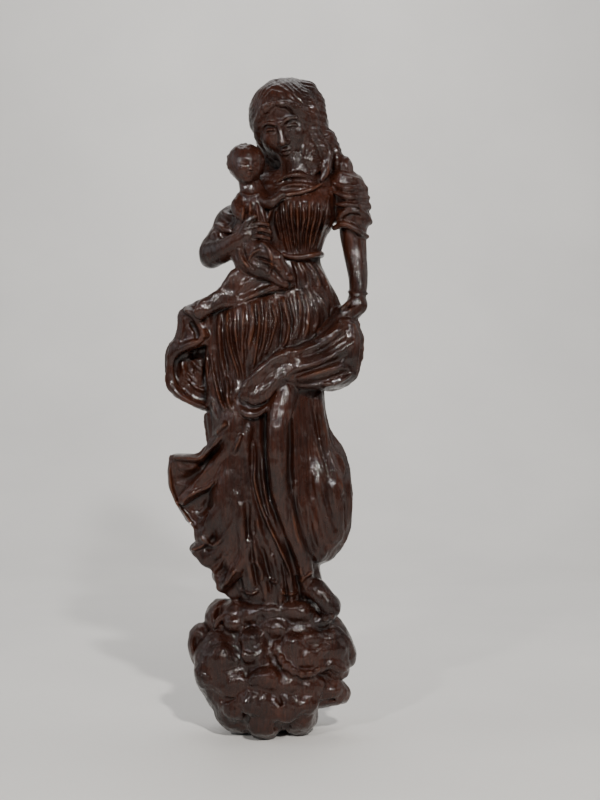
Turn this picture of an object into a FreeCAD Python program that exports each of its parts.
import FreeCAD, Part
import math
import os
from FreeCAD import Vector

# Madonna and child, carved from glued blocks of wood, standing on a cloud base.
# Millimetres. +Z up, the figure faces -Y, her left hand side is +X.
# Origin: on the flat underside of the cloud base, under the middle of the figure.

os.makedirs("parts", exist_ok=True)

# ---------------------------------------------------------------- driving dimensions
HEIGHT = 498.0          # underside of the base to the top of the head
BASE_TOP = 96.0         # glue plane between cloud and figure
WAIST = 338.0           # glue plane between skirt block and torso block
NECK = 424.0            # glue plane between torso block and head block
LEFT_FLAT = -34.0       # planed flat that carries the flying mantle on her right side
RIGHT_FLAT = 30.0       # planed flat that carries the hanging mantle edge
HIP_FLAT = 34.0         # planed flat that carries the mantle bunched on her hip
SWAG_FLAT = -26.0       # planed flat that carries the front roll of the mantle
CHILD_FLAT = -14.0      # planed flat that the child sits against
R_DOWEL_LARGE = 6.0     # waist dowel
R_DOWEL_MAIN = 5.0      # base and neck dowels
R_DOWEL_BLOCK = 3.5     # mantle blocks and arms
R_DOWEL_SMALL = 2.5     # child, cloud puffs, forearms
FAR = 200.0             # beyond every surface of the figure
TOP = 520.0

# ---------------------------------------------------------------- glue planes
# The blocks of the glue-up, in the order they are taken off the whole.
# Each box is (x0, x1, y0, y1, z0, z1). A block is its own boxes less every box above it.
BLOCKS = [
    ("foot", [(33, 62, -60, 2, BASE_TOP, 120)]),
    ("cloud_left", [(-FAR, LEFT_FLAT, -FAR, FAR, 44, 103)]),
    ("cloud_right", [(44, FAR, -FAR, FAR, 44, BASE_TOP)]),
    ("cloud_right_low", [(40, FAR, -FAR, FAR, 14, 44)]),
    ("cloud_base", [(-FAR, FAR, -FAR, FAR, 0, BASE_TOP)]),
    ("mantle_left_lower", [(-FAR, LEFT_FLAT, -FAR, FAR, 103, 243)]),
    ("mantle_left_upper", [(-FAR, LEFT_FLAT, -FAR, FAR, 243, WAIST), (-FAR, -26, -FAR, FAR, WAIST, 352)]),
    ("forearm_left", [(56.5, FAR, -FAR, FAR, 315, WAIST), (46.5, FAR, -FAR, FAR, WAIST, 378)]),
    ("mantle_hip_right", [(HIP_FLAT, FAR, -FAR, FAR, 268, WAIST)]),
    ("mantle_fall_right", [(RIGHT_FLAT, FAR, -FAR, FAR, 120, 268)]),
    ("mantle_swag", [(-26, HIP_FLAT, -FAR, SWAG_FLAT, 240, 322)]),
    ("skirt", [(-FAR, FAR, -FAR, FAR, BASE_TOP, WAIST)]),
    ("child_head", [(-FAR, 3, -FAR, -4, 403, 448)]),
    ("forearm_right", [(-36, 8, -FAR, -22, 360, 394)]),
    ("child_body", [(-22, 2, -FAR, CHILD_FLAT, 372, 403), (-28, 24, -FAR, CHILD_FLAT, WAIST, 372)]),
    ("sleeve_right", [(-FAR, -16, -FAR, FAR, 352, NECK)]),
    ("sleeve_left", [(50, FAR, -FAR, FAR, 378, 440)]),
    ("torso", [(-FAR, FAR, -FAR, FAR, WAIST, NECK)]),
    ("head", [(-FAR, FAR, -FAR, FAR, NECK, TOP)]),
]

# ---------------------------------------------------------------- dowels
# node, radius, then (start point, direction, length) of each dowel
DOWELS = [
    ("base_dowels", R_DOWEL_MAIN, [((-14, -2, 76), (0, 0, 1), 40), ((16, -2, 76), (0, 0, 1), 40)]),
    ("waist_dowel", R_DOWEL_LARGE, [((8, 0, 318), (0, 0, 1), 40)]),
    ("neck_dowel", R_DOWEL_MAIN, [((22, -3, 406), (0, 0, 1), 36)]),
    ("arm_dowel_left", R_DOWEL_BLOCK, [((40, 1, 403), (1, 0, 0), 20)]),
    ("forearm_dowel_left", R_DOWEL_SMALL, [((65.5, 0, 366), (0, 0, 1), 24)]),
    ("arm_dowel_right", R_DOWEL_BLOCK, [((-29, 4, 388), (1, 0, 0), 26)]),
    ("forearm_dowel_right", R_DOWEL_SMALL, [((-32, -25, 367.5), (0, 1, 0), 15)]),
    ("child_dowels", R_DOWEL_SMALL, [((-9, -21, 389), (0, 1, 0), 16), ((-4, -21, 360), (0, 1, 0), 16)]),
    ("child_neck_dowel", R_DOWEL_SMALL, [((-12, -19, 395), (0, 0, 1), 17)]),
    ("mantle_dowels_left", R_DOWEL_BLOCK, [((-44, 0, 130), (1, 0, 0), 20), ((-46, 0, 205), (1, 0, 0), 24),
                                           ((-45, 1, 268), (1, 0, 0), 23), ((-46, 1, 316), (1, 0, 0), 22)]),
    ("mantle_dowels_right", R_DOWEL_BLOCK, [((18, 0, 160), (1, 0, 0), 24), ((18, 0, 240), (1, 0, 0), 22),
                                            ((22, -6, 292), (1, 0, 0), 24)]),
    ("swag_dowels", R_DOWEL_BLOCK, [((24, -34, 276), (0, 1, 0), 20), ((-8, -38, 262), (0, 1, 0), 22)]),
    ("cloud_dowels", R_DOWEL_SMALL, [((-44, -4, 66), (1, 0, 0), 20), ((34, -4, 66), (1, 0, 0), 20),
                                     ((30, -6, 32), (1, 0, 0), 20)]),
    ("foot_dowel", R_DOWEL_SMALL, [((22, -18.5, 111.5), (1, 0, 0), 15)]),
]

# ---------------------------------------------------------------- carved forms
# Stations of each block from bottom to top: (height, centre x, centre y, (radii)).
# The radii are equally spaced in angle, counter-clockwise from +X.
STATIONS = {
    "foot": [
        (94, 34.6, -15.7, (10.6, 9.2, 8.8, 8.6, 13.3, 21.4, 22.7, 21.2, 15.6, 13.2, 12.5, 13.2, 15.6, 19.6, 14.8, 9.7, 8.6, 25.4, 22.3, 17.4)),
        (98.7, 35.1, -16.2, (14.3, 1.3, 0.9, 1.2, 13.4, 21.9, 23.2, 21.9, 16.1, 13.5, 13, 13.5, 16, 18.2, 13.2, 8.5, 20.1, 25.2, 23.5, 19.8)),
        (103.3, 35.4, -15.4, (1.3, 0.9, 1, 1.2, 13.9, 21.2, 22.5, 22.4, 16.6, 14, 13.3, 14, 16.4, 11.4, 1.4, 15.6, 22.5, 24.9, 22.5, 18)),
        (108, 33.8, -14.8, (4, 3.8, 4.8, 11.3, 18.4, 20.7, 21.7, 19.9, 14.5, 12.3, 11.8, 12.3, 14.4, 12.6, 13.8, 17.5, 22.2, 23.7, 20.3, 5.7)),
        (112.7, 32.5, -13.6, (6.3, 6.6, 9.7, 13.8, 20.4, 19.6, 20.4, 17.7, 12.8, 11, 10.3, 11, 12.7, 13.8, 15.7, 18, 21.7, 21.9, 15.7, 8.3)),
        (117.3, 31.1, -11.9, (7.3, 9, 11.5, 15, 18.7, 17.8, 18.7, 15.5, 11.3, 9.5, 9, 9.5, 11.3, 15.5, 18.4, 17.8, 19.5, 18.6, 11.3, 7.3)),
        (122, 29.5, -10.3, (9.5, 10.5, 12.5, 16.2, 17, 16.3, 16.9, 12.8, 9.3, 7.8, 7.5, 7.8, 9.3, 12.8, 18.9, 20.7, 15.2, 9.1, 7.8, 8)),
    ],
    "cloud_left": [
        (42, -35.5, -5.5, (11.3, 11.8, 13.5, 17.6, 27.6, 37.4, 18.9, 14.2, 12.8, 13.2, 14.8, 16.8, 19.5, 22, 25.2, 25.7, 25.3, 28.2, 27.3, 17.6, 13.5, 11.8)),
        (47.6, -36.8, -6.6, (12.8, 13.3, 15, 19.6, 30.7, 34.9, 20.2, 15.8, 16.5, 18.9, 17.8, 18, 19.5, 22, 25.4, 25.7, 24.8, 26.8, 30.4, 19.7, 15, 13.3)),
        (53.3, -38.1, -5.2, (14, 14.5, 16.8, 21.7, 33.5, 32.8, 19.7, 17.4, 21.9, 22, 20.3, 18.8, 18.5, 20.5, 24.4, 25.5, 25.3, 28.2, 29.1, 21.6, 16.8, 14.5)),
        (58.9, -38.5, -2.6, (14.5, 15, 17, 22.2, 34.5, 34.1, 30.2, 17.4, 21.4, 22.8, 22, 21.5, 20, 20.8, 23.2, 25.8, 28.3, 32, 32, 22.1, 17, 15)),
        (64.5, -38.9, -0.6, (14.8, 15.5, 17.5, 22.7, 35.4, 33.1, 29.9, 16.7, 20.6, 22.5, 22.5, 22.5, 21.9, 19.9, 22.5, 25, 29, 33.2, 32.6, 22.6, 17.5, 15.5)),
        (70.2, -38.6, 1.6, (14.5, 15, 17.3, 22.4, 33.2, 30.6, 28.1, 18.2, 16.3, 20.7, 22.5, 22.8, 22.8, 17, 20.2, 23.7, 25.9, 32.3, 30.2, 22.3, 17.3, 15)),
        (75.8, -37.9, 3.5, (13.7, 14.3, 16.5, 21.2, 30.9, 27.1, 24.9, 18.6, 14.3, 13.7, 20.4, 22, 22.7, 21.2, 16.9, 20.7, 24.2, 26.3, 28.1, 21.1, 16.5, 14.3)),
        (81.5, -35.1, 4, (11, 11.5, 13, 16.9, 26.3, 25.3, 22.7, 19.3, 15.5, 13, 12.9, 19.9, 20.6, 15.9, 16.2, 17.8, 20.3, 24.5, 26.3, 16.9, 13, 11.5)),
        (87.1, -33.6, 2.5, (9.5, 10, 11.3, 14.6, 22.9, 25.9, 23, 18.3, 15.3, 14.8, 14.8, 15, 15.5, 16.5, 17.5, 17.8, 21.6, 27.3, 22.9, 14.6, 11.3, 10)),
        (92.7, -33, 1.9, (9, 9.3, 10.5, 13.8, 21.4, 23.7, 19.5, 15.3, 13.8, 13.8, 14.5, 14.5, 14.5, 15.3, 16.4, 13.6, 14.7, 24, 21.4, 13.8, 10.5, 9.3)),
        (98.4, -31.2, 0, (7, 7.5, 8.5, 11.1, 17.2, 18.6, 12.4, 12, 12, 12.2, 12.3, 12.2, 11.8, 11.7, 11.7, 11, 12.8, 18.6, 17.2, 11.1, 8.5, 7.5)),
        (104, -26.6, -1.8, (2.5, 2.5, 3, 4, 6.4, 14.8, 12.3, 8, 4.8, 4, 3.8, 3.7, 4, 4.3, 5.3, 8.5, 12.2, 13.6, 6.4, 4, 3, 2.5)),
    ],
    "cloud_right": [
        (43, 42.8, -3.7, (11.8, 11.7, 12, 13.5, 15.9, 26.3, 27.2, 21.2, 13.6, 10.5, 9, 8.8, 9, 10.5, 13.6, 21.3, 28.2, 20.7, 19.2, 18.7, 16.5, 13.5)),
        (48.4, 44.7, -6.5, (14.6, 15.5, 16, 15.5, 14.5, 16.2, 26.5, 25.4, 16.4, 12.5, 11, 10.5, 11, 12.5, 16.4, 25.1, 17.7, 17.5, 18.3, 19, 18.5, 16.5)),
        (53.8, 46.2, -6.8, (19.2, 20.5, 21.2, 18.8, 17.5, 15.9, 15.6, 28.7, 18.7, 14.5, 12.8, 12, 12.8, 14.5, 18.7, 28.9, 24.1, 21, 20.2, 18.7, 17.5, 16.8)),
        (59.2, 46.6, -3.7, (20.3, 21, 20.9, 18.5, 16.5, 17.1, 31.9, 29.9, 19.1, 14.8, 13, 12.5, 13, 14.8, 19.2, 29.7, 26.8, 23.7, 21.1, 20.4, 18.3, 20.2)),
        (64.6, 46.4, -3.1, (19.3, 19.7, 20, 18.5, 17.3, 21.4, 32.2, 29.6, 19.1, 14.8, 12.8, 12.3, 12.8, 14.8, 19.2, 29.5, 28, 24.5, 23, 21.3, 20.5, 19.5)),
        (70, 46, -2.8, (18, 18, 18.2, 17.3, 17.8, 23.5, 30.8, 28.6, 18.4, 14, 12.3, 11.8, 12.3, 14, 18.4, 28.5, 28.7, 24.6, 23.2, 21.5, 20.7, 18.3)),
        (75.4, 45, -2.1, (16.5, 16, 15.8, 15.8, 17.8, 24.2, 29.9, 26.4, 16.9, 13, 11.5, 11, 11.5, 13, 16.9, 26.3, 26, 24.9, 22.3, 21.9, 17.6, 16.7)),
        (80.8, 43.8, -0.9, (14.5, 14, 13.7, 13.6, 17.3, 23.5, 29, 23.5, 14.8, 11.5, 10, 9.7, 10, 11.5, 14.9, 23.3, 24.5, 23.8, 22.7, 17.8, 15.8, 15.2)),
        (86.2, 41.7, -0.6, (12.7, 11.5, 10.3, 10.6, 15.7, 22.3, 27.7, 18.6, 11.8, 9, 8, 7.5, 8, 9, 11.8, 18.5, 25.8, 22.7, 17, 14.3, 14.2, 13.7)),
        (91.6, 39.8, -6.2, (1.7, 1.3, 1.2, 1.3, 1.3, 3, 30.9, 14.4, 8.7, 6.8, 6, 5.8, 6, 6.8, 8.8, 14, 19.1, 20.1, 23.1, 10, 5, 2.6)),
        (97, 42.1, -16.6, (7.1, 1.2, 0.9, 1.1, 0.8, 1.8, 33.2, 19.6, 12.2, 9.6, 8.2, 8, 8.2, 9.6, 12.1, 8.3, 15.4, 20.5, 21.4, 18, 14, 10.5)),
    ],
    "cloud_right_low": [
        (13, 32.5, -1.2, (4, 3.7, 4, 4.2, 5.3, 19.7, 17.6, 6.2, 3.7, 3, 2.5, 2.5, 2.5, 3, 3.7, 6.2, 17.5, 16.5, 10.8, 8, 5.8, 4.7)),
        (17.9, 32.6, -2.8, (4.5, 4.2, 4.5, 4.9, 6, 19.7, 17.6, 6.2, 3.7, 3, 2.5, 2.5, 2.5, 3, 3.7, 6.2, 17.5, 17.2, 11.1, 8.3, 6.3, 5)),
        (22.7, 35.5, -7.4, (10, 7.1, 6.7, 7.3, 7.6, 9.3, 31.3, 13.7, 8.2, 6.6, 5.7, 5.5, 5.7, 6.6, 8.2, 13.5, 25.9, 12.6, 10.7, 11.8, 13.5, 15.4)),
        (27.6, 40.7, -6.4, (19.9, 14.6, 11.6, 13, 14.4, 16, 28.9, 25.7, 16.3, 12.5, 11, 10.5, 11, 12.5, 16.4, 25.6, 26.5, 15.5, 15.5, 16.8, 19.2, 21)),
        (32.4, 41.8, -4.2, (18.2, 13.3, 13.5, 14.9, 16.2, 27.3, 28.8, 28, 17.9, 13.7, 12, 11.7, 12, 13.8, 17.9, 28.1, 28.1, 21.4, 21.5, 20.8, 21.2, 21.2)),
        (37.3, 41.7, -3.7, (15, 13.8, 15, 16.4, 24.9, 27.3, 29, 27.8, 17.9, 13.8, 12, 11.5, 12, 13.8, 17.9, 27.8, 28.7, 23.4, 23.2, 22, 20.3, 18.9)),
        (42.1, 40.7, -4.1, (14.3, 14, 14.5, 16.4, 24.4, 27.7, 28, 25.6, 16.4, 12.5, 11, 10.5, 11, 12.5, 16.4, 25.7, 29.3, 21.9, 20.5, 20.2, 18.5, 16.3)),
        (47, 41.6, -5.6, (16.1, 16.5, 16, 14.8, 16.7, 26, 27.6, 27.5, 17.7, 13.7, 12, 11.5, 12, 13.7, 17.7, 27.5, 24.2, 17.6, 19, 20.5, 21.2, 18.7)),
    ],
    "cloud_base": [
        (0, -0.2, -0.6, (31.1, 29.7, 31.5, 33.9, 34.3, 33.5, 32.2, 30.3, 27.1, 23.9, 22.7, 24.2, 26.7, 29.4, 31.8, 33.8, 35, 34.3, 31.6, 29.2, 29.6, 31.1, 33.5, 35.1, 33.8, 28.9, 25.8, 26.9, 31.1, 32, 30.7, 27.4, 24, 23.3, 27.7, 32.9, 34.2, 33.4, 33, 32.6)),
        (3, -0.2, -0.6, (34.3, 32.8, 34.8, 37.5, 37.9, 37, 35.6, 33.4, 29.9, 26.4, 25, 26.7, 29.5, 32.5, 35.1, 37.4, 38.6, 37.9, 34.9, 32.3, 32.7, 34.3, 37, 38.8, 37.3, 32, 28.5, 29.7, 34.3, 35.3, 33.9, 30.2, 26.5, 25.8, 30.6, 36.4, 37.7, 36.9, 36.4, 36.1)),
        (8, -0.2, -0.6, (35.8, 34.2, 36.2, 39.1, 39.5, 38.5, 37.1, 34.8, 31.2, 27.5, 26.1, 27.8, 30.7, 33.8, 36.6, 39, 40.3, 39.5, 36.4, 33.7, 34.1, 35.8, 38.6, 40.5, 38.9, 33.3, 29.7, 31, 35.7, 36.8, 35.3, 31.5, 27.6, 26.9, 31.9, 37.9, 39.3, 38.5, 37.9, 37.6)),
        (14, -0.2, -0.6, (36.2, 34.6, 36.6, 39.5, 39.9, 38.9, 37.4, 35.2, 31.5, 27.8, 26.4, 28.1, 31, 34.2, 37, 39.4, 40.7, 39.9, 36.7, 34, 34.4, 36.1, 39, 40.9, 39.3, 33.6, 30, 31.3, 36.1, 37.2, 35.7, 31.8, 27.9, 27.1, 32.2, 38.3, 39.7, 38.9, 38.3, 38)),
        (21, -0.2, -0.6, (37.2, 35.6, 37.7, 40.7, 41.1, 40.1, 38.6, 36.2, 32.5, 28.7, 27.1, 28.9, 32, 35.2, 38.1, 40.5, 41.9, 41.1, 37.8, 35, 35.5, 37.2, 40.2, 42.1, 40.4, 34.6, 30.9, 32.2, 37.2, 38.3, 36.7, 32.8, 28.7, 28, 33.1, 39.4, 40.9, 40, 39.5, 39.1)),
        (29, 3.6, -4.5, (53.9, 48, 44.8, 47.1, 46, 39.1, 41.6, 41.8, 41.1, 38.4, 36.4, 34.2, 34.5, 39, 44.2, 48.8, 48.5, 41.9, 43.9, 47.1, 50.1, 51.7, 50.9, 47.8, 44.6, 42.5, 41.2, 41.8, 40, 37.3, 35.3, 35, 37.8, 38.9, 41, 43.6, 42.7, 42.3, 49.8, 54.8)),
        (38, 3.9, -3, (52.1, 50.6, 49.2, 52.4, 46.7, 40.3, 42.2, 42, 40.7, 38.6, 36.9, 34.9, 35.4, 39.5, 44.2, 49.2, 50.7, 42.3, 43.9, 48.1, 52.3, 54.6, 56.1, 52.3, 48.2, 44, 40.5, 40.4, 39.6, 36.8, 34.2, 35.3, 37.1, 37.9, 40.8, 43.9, 45.5, 50, 54.5, 54.6)),
        (47, 1.5, -4.4, (55.9, 52.8, 48.5, 49.8, 44, 36, 40.8, 41, 39.4, 37.6, 37.3, 38.2, 39.1, 40.8, 44.5, 46.6, 43.6, 43.9, 45.9, 51.5, 51.6, 52, 54.1, 55.3, 47.1, 42, 38.4, 37.2, 38.8, 38.3, 37.4, 35.8, 35.4, 37.4, 38.7, 42.6, 44.3, 44.8, 54.8, 57)),
        (56, 3, -2.4, (55, 54.6, 44.1, 43.7, 46.5, 47.2, 44.3, 40.2, 36.5, 36.5, 38, 38.7, 39.5, 40.5, 41.4, 45.4, 51.2, 48.5, 48.3, 53.1, 53.1, 53.6, 55.5, 56.4, 50.6, 41.4, 34.8, 34, 34.9, 37, 34.6, 32, 39.5, 40.7, 41.2, 46.9, 49.3, 54.1, 57.5, 55.6)),
        (66, 3.2, -1.2, (54.8, 54.9, 51, 49.9, 49, 46.9, 43.5, 39.5, 35.4, 33.7, 34.7, 36, 37.5, 38.8, 41, 47.3, 54.3, 56.5, 52.5, 53.5, 53.1, 53.8, 55.5, 54.5, 51.3, 39.9, 37.4, 39, 36.9, 33.3, 31.7, 35.7, 37.7, 41.2, 44.4, 46.6, 50.1, 55.1, 57.3, 55.3)),
        (76, 4.7, -0.3, (53.3, 52.8, 49.9, 48.9, 46.2, 42.8, 39.8, 36.7, 33, 29.8, 28.1, 28.6, 31.1, 35.1, 40.5, 45.3, 51, 55.4, 54.5, 55.1, 54.6, 55.1, 53.1, 47.4, 37.8, 36.9, 39.3, 38.3, 34, 29.5, 28.8, 31.4, 38.9, 40.9, 41, 43.9, 46.3, 52.8, 55.7, 53.9)),
        (86, 3.4, 0.6, (50.5, 46.1, 46.6, 46.4, 44.2, 40.5, 36, 31.8, 28.6, 27.1, 27, 27.8, 29.3, 31.9, 36.5, 41.2, 45.3, 48.5, 48.9, 50.9, 52.2, 51.1, 46.7, 42.5, 41.6, 37.9, 30.4, 28.8, 29.3, 31, 32.5, 33.4, 32.8, 32.9, 35.9, 38.8, 44.8, 48.5, 48.3, 51.3)),
        (96, 3.8, -3.3, (34.8, 34.7, 36.6, 40.5, 39.9, 36.7, 33.2, 31.6, 29.1, 28.2, 29.3, 28, 29.2, 30, 32, 37.4, 41.8, 43.3, 46, 49, 48.7, 45.5, 39.6, 37, 32.3, 30.7, 29.2, 26.4, 25.6, 26.2, 25.8, 25.8, 27.9, 31.4, 35, 37.2, 39.2, 54.5, 49.3, 35.2)),
    ],
    "mantle_left_lower": [
        (101, -29, -1.6, (5, 5, 5.3, 6, 7, 9, 13.1, 15.7, 6.7, 5.2, 5.3, 6, 8.3, 10.5, 11.4, 10.7, 9.8, 8.8, 8, 7.5, 6.5, 6, 6, 6.9, 11.2, 15, 13, 9.1, 7, 6, 5.3, 5)),
        (107.9, -28, -2.1, (4, 4, 4.3, 4.8, 5.5, 7, 10.6, 16.2, 15.1, 13.5, 11.2, 8.3, 5.8, 5, 4.8, 4.7, 4.8, 4.8, 5, 5.5, 7.3, 10.7, 13.2, 13.7, 14.3, 14.6, 10.5, 7.1, 5.5, 4.8, 4.3, 4)),
        (114.8, -30.9, -3.7, (6.8, 7, 7.5, 8.3, 9.8, 12.4, 17.8, 19.4, 17.8, 17.9, 16.5, 13.9, 10.3, 8.5, 8.2, 7.8, 7.5, 7.8, 9, 10.7, 12, 14.2, 15.8, 18.3, 20.1, 18.3, 17.1, 12.4, 9.8, 8.3, 7.5, 7)),
        (121.7, -31.9, -3.2, (7.8, 8, 8.5, 9.3, 11, 14.2, 20.2, 20.7, 19.8, 19.4, 17.8, 16.3, 15.2, 12.6, 11.3, 11.2, 10.5, 10.3, 11.3, 12.5, 13.5, 14.7, 14.3, 14.5, 17.4, 25.9, 20.6, 14.1, 11, 9.3, 8.5, 8)),
        (128.6, -34.7, -2.8, (10.5, 10.8, 11.5, 12.8, 15, 19.1, 24.8, 21.3, 17.8, 16.8, 16.2, 15.8, 16.7, 16.9, 15.1, 15, 14, 13.6, 15.5, 17.5, 19.1, 17.5, 16, 16, 14.8, 17.2, 26.9, 19.3, 15, 12.8, 11.5, 10.8)),
        (135.5, -37.3, -3.6, (13.3, 13.5, 14.3, 15.8, 18.8, 23.7, 25.6, 21.7, 16.4, 14.6, 16.2, 17, 17.5, 18.7, 18.5, 18.7, 18.1, 19, 20, 20.9, 19, 17.8, 17.5, 17.7, 17.8, 18.9, 22.9, 23.5, 18.8, 15.8, 14.3, 13.5)),
        (142.4, -38.4, -4, (14.3, 14.5, 15.5, 17.3, 20.4, 25.5, 25.9, 22.5, 18.4, 17.8, 18, 18.5, 19.3, 20.4, 20.5, 20.9, 19.9, 20.7, 20.8, 21.7, 20.9, 18, 15.9, 17, 19.3, 22.4, 27.2, 25.6, 20.3, 17.3, 15.5, 14.5)),
        (149.3, -36.9, -4.6, (12.8, 13, 13.8, 15.3, 18.1, 23, 27.9, 24.7, 20.4, 20.3, 22.1, 21.1, 20.4, 18.8, 17.3, 16, 15.6, 17, 18.6, 21.4, 21.3, 22.1, 18.3, 15.8, 21.4, 25.8, 29.1, 23.1, 18, 15.3, 13.8, 13)),
        (156.2, -37.5, -4.8, (13.5, 13.8, 14.5, 16.3, 19.1, 24.3, 28.4, 25.3, 22.5, 20.8, 20.3, 21.2, 21, 21, 20, 18.6, 18.7, 19, 19.5, 20.2, 19.8, 20.2, 20, 19.3, 20.9, 26.2, 30.1, 24.3, 19.1, 16.3, 14.5, 13.8)),
        (163.1, -39.5, -4.7, (15.5, 15.8, 16.8, 18.5, 21.9, 27.6, 28.6, 24, 18.9, 17, 16.9, 19.8, 24.2, 25.9, 24.6, 24, 23, 23.2, 22, 16.2, 14.3, 15.1, 18, 20.7, 22.3, 26.1, 31.2, 27.7, 21.8, 18.5, 16.8, 15.8)),
        (170, -41.2, -3.6, (17, 17.5, 18.5, 20.5, 24.4, 30.4, 27.3, 18.5, 15.9, 18, 19.2, 21.2, 25.8, 26.8, 28.1, 26.8, 26.3, 26.2, 20.3, 15.3, 12.1, 11.3, 12, 14.7, 22.6, 27.4, 32.5, 30.6, 24.4, 20.5, 18.5, 17.5)),
        (177, -43.7, -3.5, (19.5, 20, 21.3, 23.5, 27.8, 31.5, 23.7, 18.1, 17.8, 19.6, 22.9, 23.5, 24.1, 26.8, 29.4, 28, 27.8, 27.6, 25.3, 26.5, 14.3, 11.9, 10.8, 10.3, 12.9, 23.8, 32.4, 34.8, 27.9, 23.5, 21.3, 20)),
        (183.9, -44.4, -4.3, (20.3, 20.8, 22, 24.3, 28.9, 33.6, 23.9, 20.6, 21.9, 20.3, 19.8, 21.2, 22.4, 26.5, 31.1, 30.5, 30.3, 29.1, 21.2, 23.1, 23.8, 23.5, 21.8, 15.4, 13.3, 20.6, 30.9, 36, 28.9, 24.3, 22, 20.8)),
        (190.8, -44, -4.7, (19.8, 20.3, 21.6, 24, 28.4, 34.4, 27.2, 21.3, 18.6, 17.2, 16.1, 17.2, 22.2, 26.5, 31.1, 32.2, 32.1, 31.1, 18.1, 16.1, 19, 20.5, 20.9, 20.1, 20.5, 22, 30.2, 35.3, 28.4, 24, 21.6, 20.3)),
        (197.7, -44.4, -4.6, (20.3, 20.8, 22.1, 24.5, 28.9, 33.2, 25.1, 16.7, 14.6, 16.7, 18.8, 21.3, 24.6, 25.6, 29.4, 31.4, 31.8, 31.6, 22.8, 13.8, 11.5, 11.7, 16.9, 21.2, 22.5, 22.9, 28.3, 34.5, 28.9, 24.5, 22.1, 20.8)),
        (204.6, -44.2, -4.7, (20, 20.5, 21.8, 24.3, 28.6, 33.6, 24.4, 16.8, 17.2, 18.1, 21.1, 21.7, 20.6, 22.8, 27.5, 30.6, 31.1, 31.3, 26.6, 22, 18.8, 15.8, 8.7, 9, 21.1, 25, 28.6, 33.6, 28.6, 24.3, 21.8, 20.5)),
        (211.5, -42.7, -5.4, (18.6, 19, 20.3, 22.5, 26.5, 33, 28.2, 20.3, 19.6, 21.6, 19.3, 16.8, 16.6, 19.3, 24, 28.8, 29.3, 29.9, 27.5, 23.7, 20.3, 18.8, 20.2, 21.7, 13.6, 22, 28.6, 33, 26.5, 22.5, 20.3, 19)),
        (218.4, -34.3, -4, (10.3, 10.5, 11, 12.3, 14.5, 18.7, 26.5, 27.6, 24.8, 27.3, 26.4, 21.3, 17, 14.1, 12.8, 12.2, 11, 11.3, 12.7, 13.4, 17.7, 21, 24.2, 25.2, 25.5, 29.7, 26.6, 18.7, 14.5, 12.3, 11, 10.5)),
        (225.3, -33.6, -3.9, (9.5, 9.8, 10.3, 11.5, 13.5, 17.4, 24.8, 26.4, 25.8, 26.6, 24.8, 22.4, 17.8, 13.9, 12.7, 12, 11.6, 13, 13.5, 13.5, 14, 15, 20.8, 24.1, 28.9, 30.7, 24.9, 17.4, 13.5, 11.5, 10.3, 9.8)),
        (232.2, -33.9, -3.8, (9.8, 10, 10.5, 11.8, 13.8, 17.9, 25.5, 26.7, 24.6, 24.3, 25.4, 24.3, 18.6, 15.1, 14.5, 13.3, 12.6, 14.2, 14, 14.2, 14, 14.6, 17.5, 22.2, 30.4, 31.1, 25.6, 17.9, 13.8, 11.8, 10.5, 10)),
        (239.1, -34.1, -2.2, (10, 10.3, 10.8, 12, 14, 18.2, 26, 27.8, 24.1, 22.8, 23.7, 23.3, 19.3, 16.7, 14.8, 14.4, 13.3, 14, 15.4, 15.3, 15.5, 15.6, 18.5, 22, 27.1, 31.8, 26.2, 18.1, 14.1, 12, 10.8, 10.3)),
        (246, -35.4, -2.6, (11.3, 11.5, 12.3, 13.8, 16, 20.8, 29.2, 26.6, 24, 22, 20.5, 20.1, 20.7, 20, 18.5, 17.7, 16.8, 17.2, 17.5, 17, 15.3, 14.9, 17.5, 20.2, 23.2, 29.5, 29.4, 20.7, 16, 13.8, 12.3, 11.5)),
    ],
    "mantle_left_upper": [
        (240, -34.1, -2.2, (10, 10.3, 10.8, 12, 14, 18.2, 26, 27.8, 24.3, 22.8, 23.5, 23.1, 19.6, 16.8, 14.8, 14.4, 13.3, 14, 15.4, 15.3, 15.5, 15.4, 18.5, 22.3, 27.1, 31.8, 26.2, 18.1, 14.1, 12, 10.8, 10.3)),
        (247.1, -36.5, -2.7, (12.5, 12.8, 13.5, 15, 17.6, 22.6, 29.3, 26.1, 23.3, 21.5, 20.8, 21.7, 21.8, 21.2, 19.6, 18.9, 17.9, 18.4, 18.5, 18.1, 16.8, 20.3, 16.4, 19.3, 21.5, 28.6, 32, 22.7, 17.5, 15, 13.5, 12.8)),
        (254.2, -41.1, -0.5, (17, 17.3, 18.3, 20.5, 24.2, 30.2, 24, 20.3, 19.8, 20.7, 20.3, 21.5, 24.2, 25, 27.1, 26.1, 6.9, 5.6, 6.1, 6.5, 8, 9.7, 11.9, 17, 19.3, 26.7, 33.2, 30.6, 24.1, 20.5, 18.3, 17.3)),
        (261.4, -42.9, 1.2, (18.8, 19.3, 20.3, 22.8, 26.7, 28.6, 21, 18.6, 19.9, 18.3, 18, 22.1, 22.7, 23, 29, 31.2, 15.1, 4.8, 4.2, 4.5, 5.3, 6.6, 9.7, 13.6, 19.9, 25.4, 33.7, 33.8, 26.9, 22.8, 20.3, 19.3)),
        (268.5, -43.2, 2.1, (19, 19.5, 20.5, 23.1, 26.9, 27.5, 21.4, 18.8, 18.4, 16, 14.6, 21.7, 21.5, 20.9, 29, 33.6, 32.2, 5.3, 3.8, 4.6, 5.2, 6.9, 10.2, 14.6, 20.6, 24, 31.6, 33.9, 27.2, 23, 20.6, 19.5)),
        (275.6, -43.5, 2, (19.5, 19.8, 21, 23.4, 27.2, 24.2, 20.4, 19.6, 16.8, 14.5, 18.2, 20.8, 20.3, 26.1, 29.1, 33.5, 32.7, 9.8, 3.1, 3.5, 4.2, 6.1, 10.2, 13.9, 19.8, 22.4, 28.8, 34.5, 27.7, 23.3, 21, 19.8)),
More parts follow.
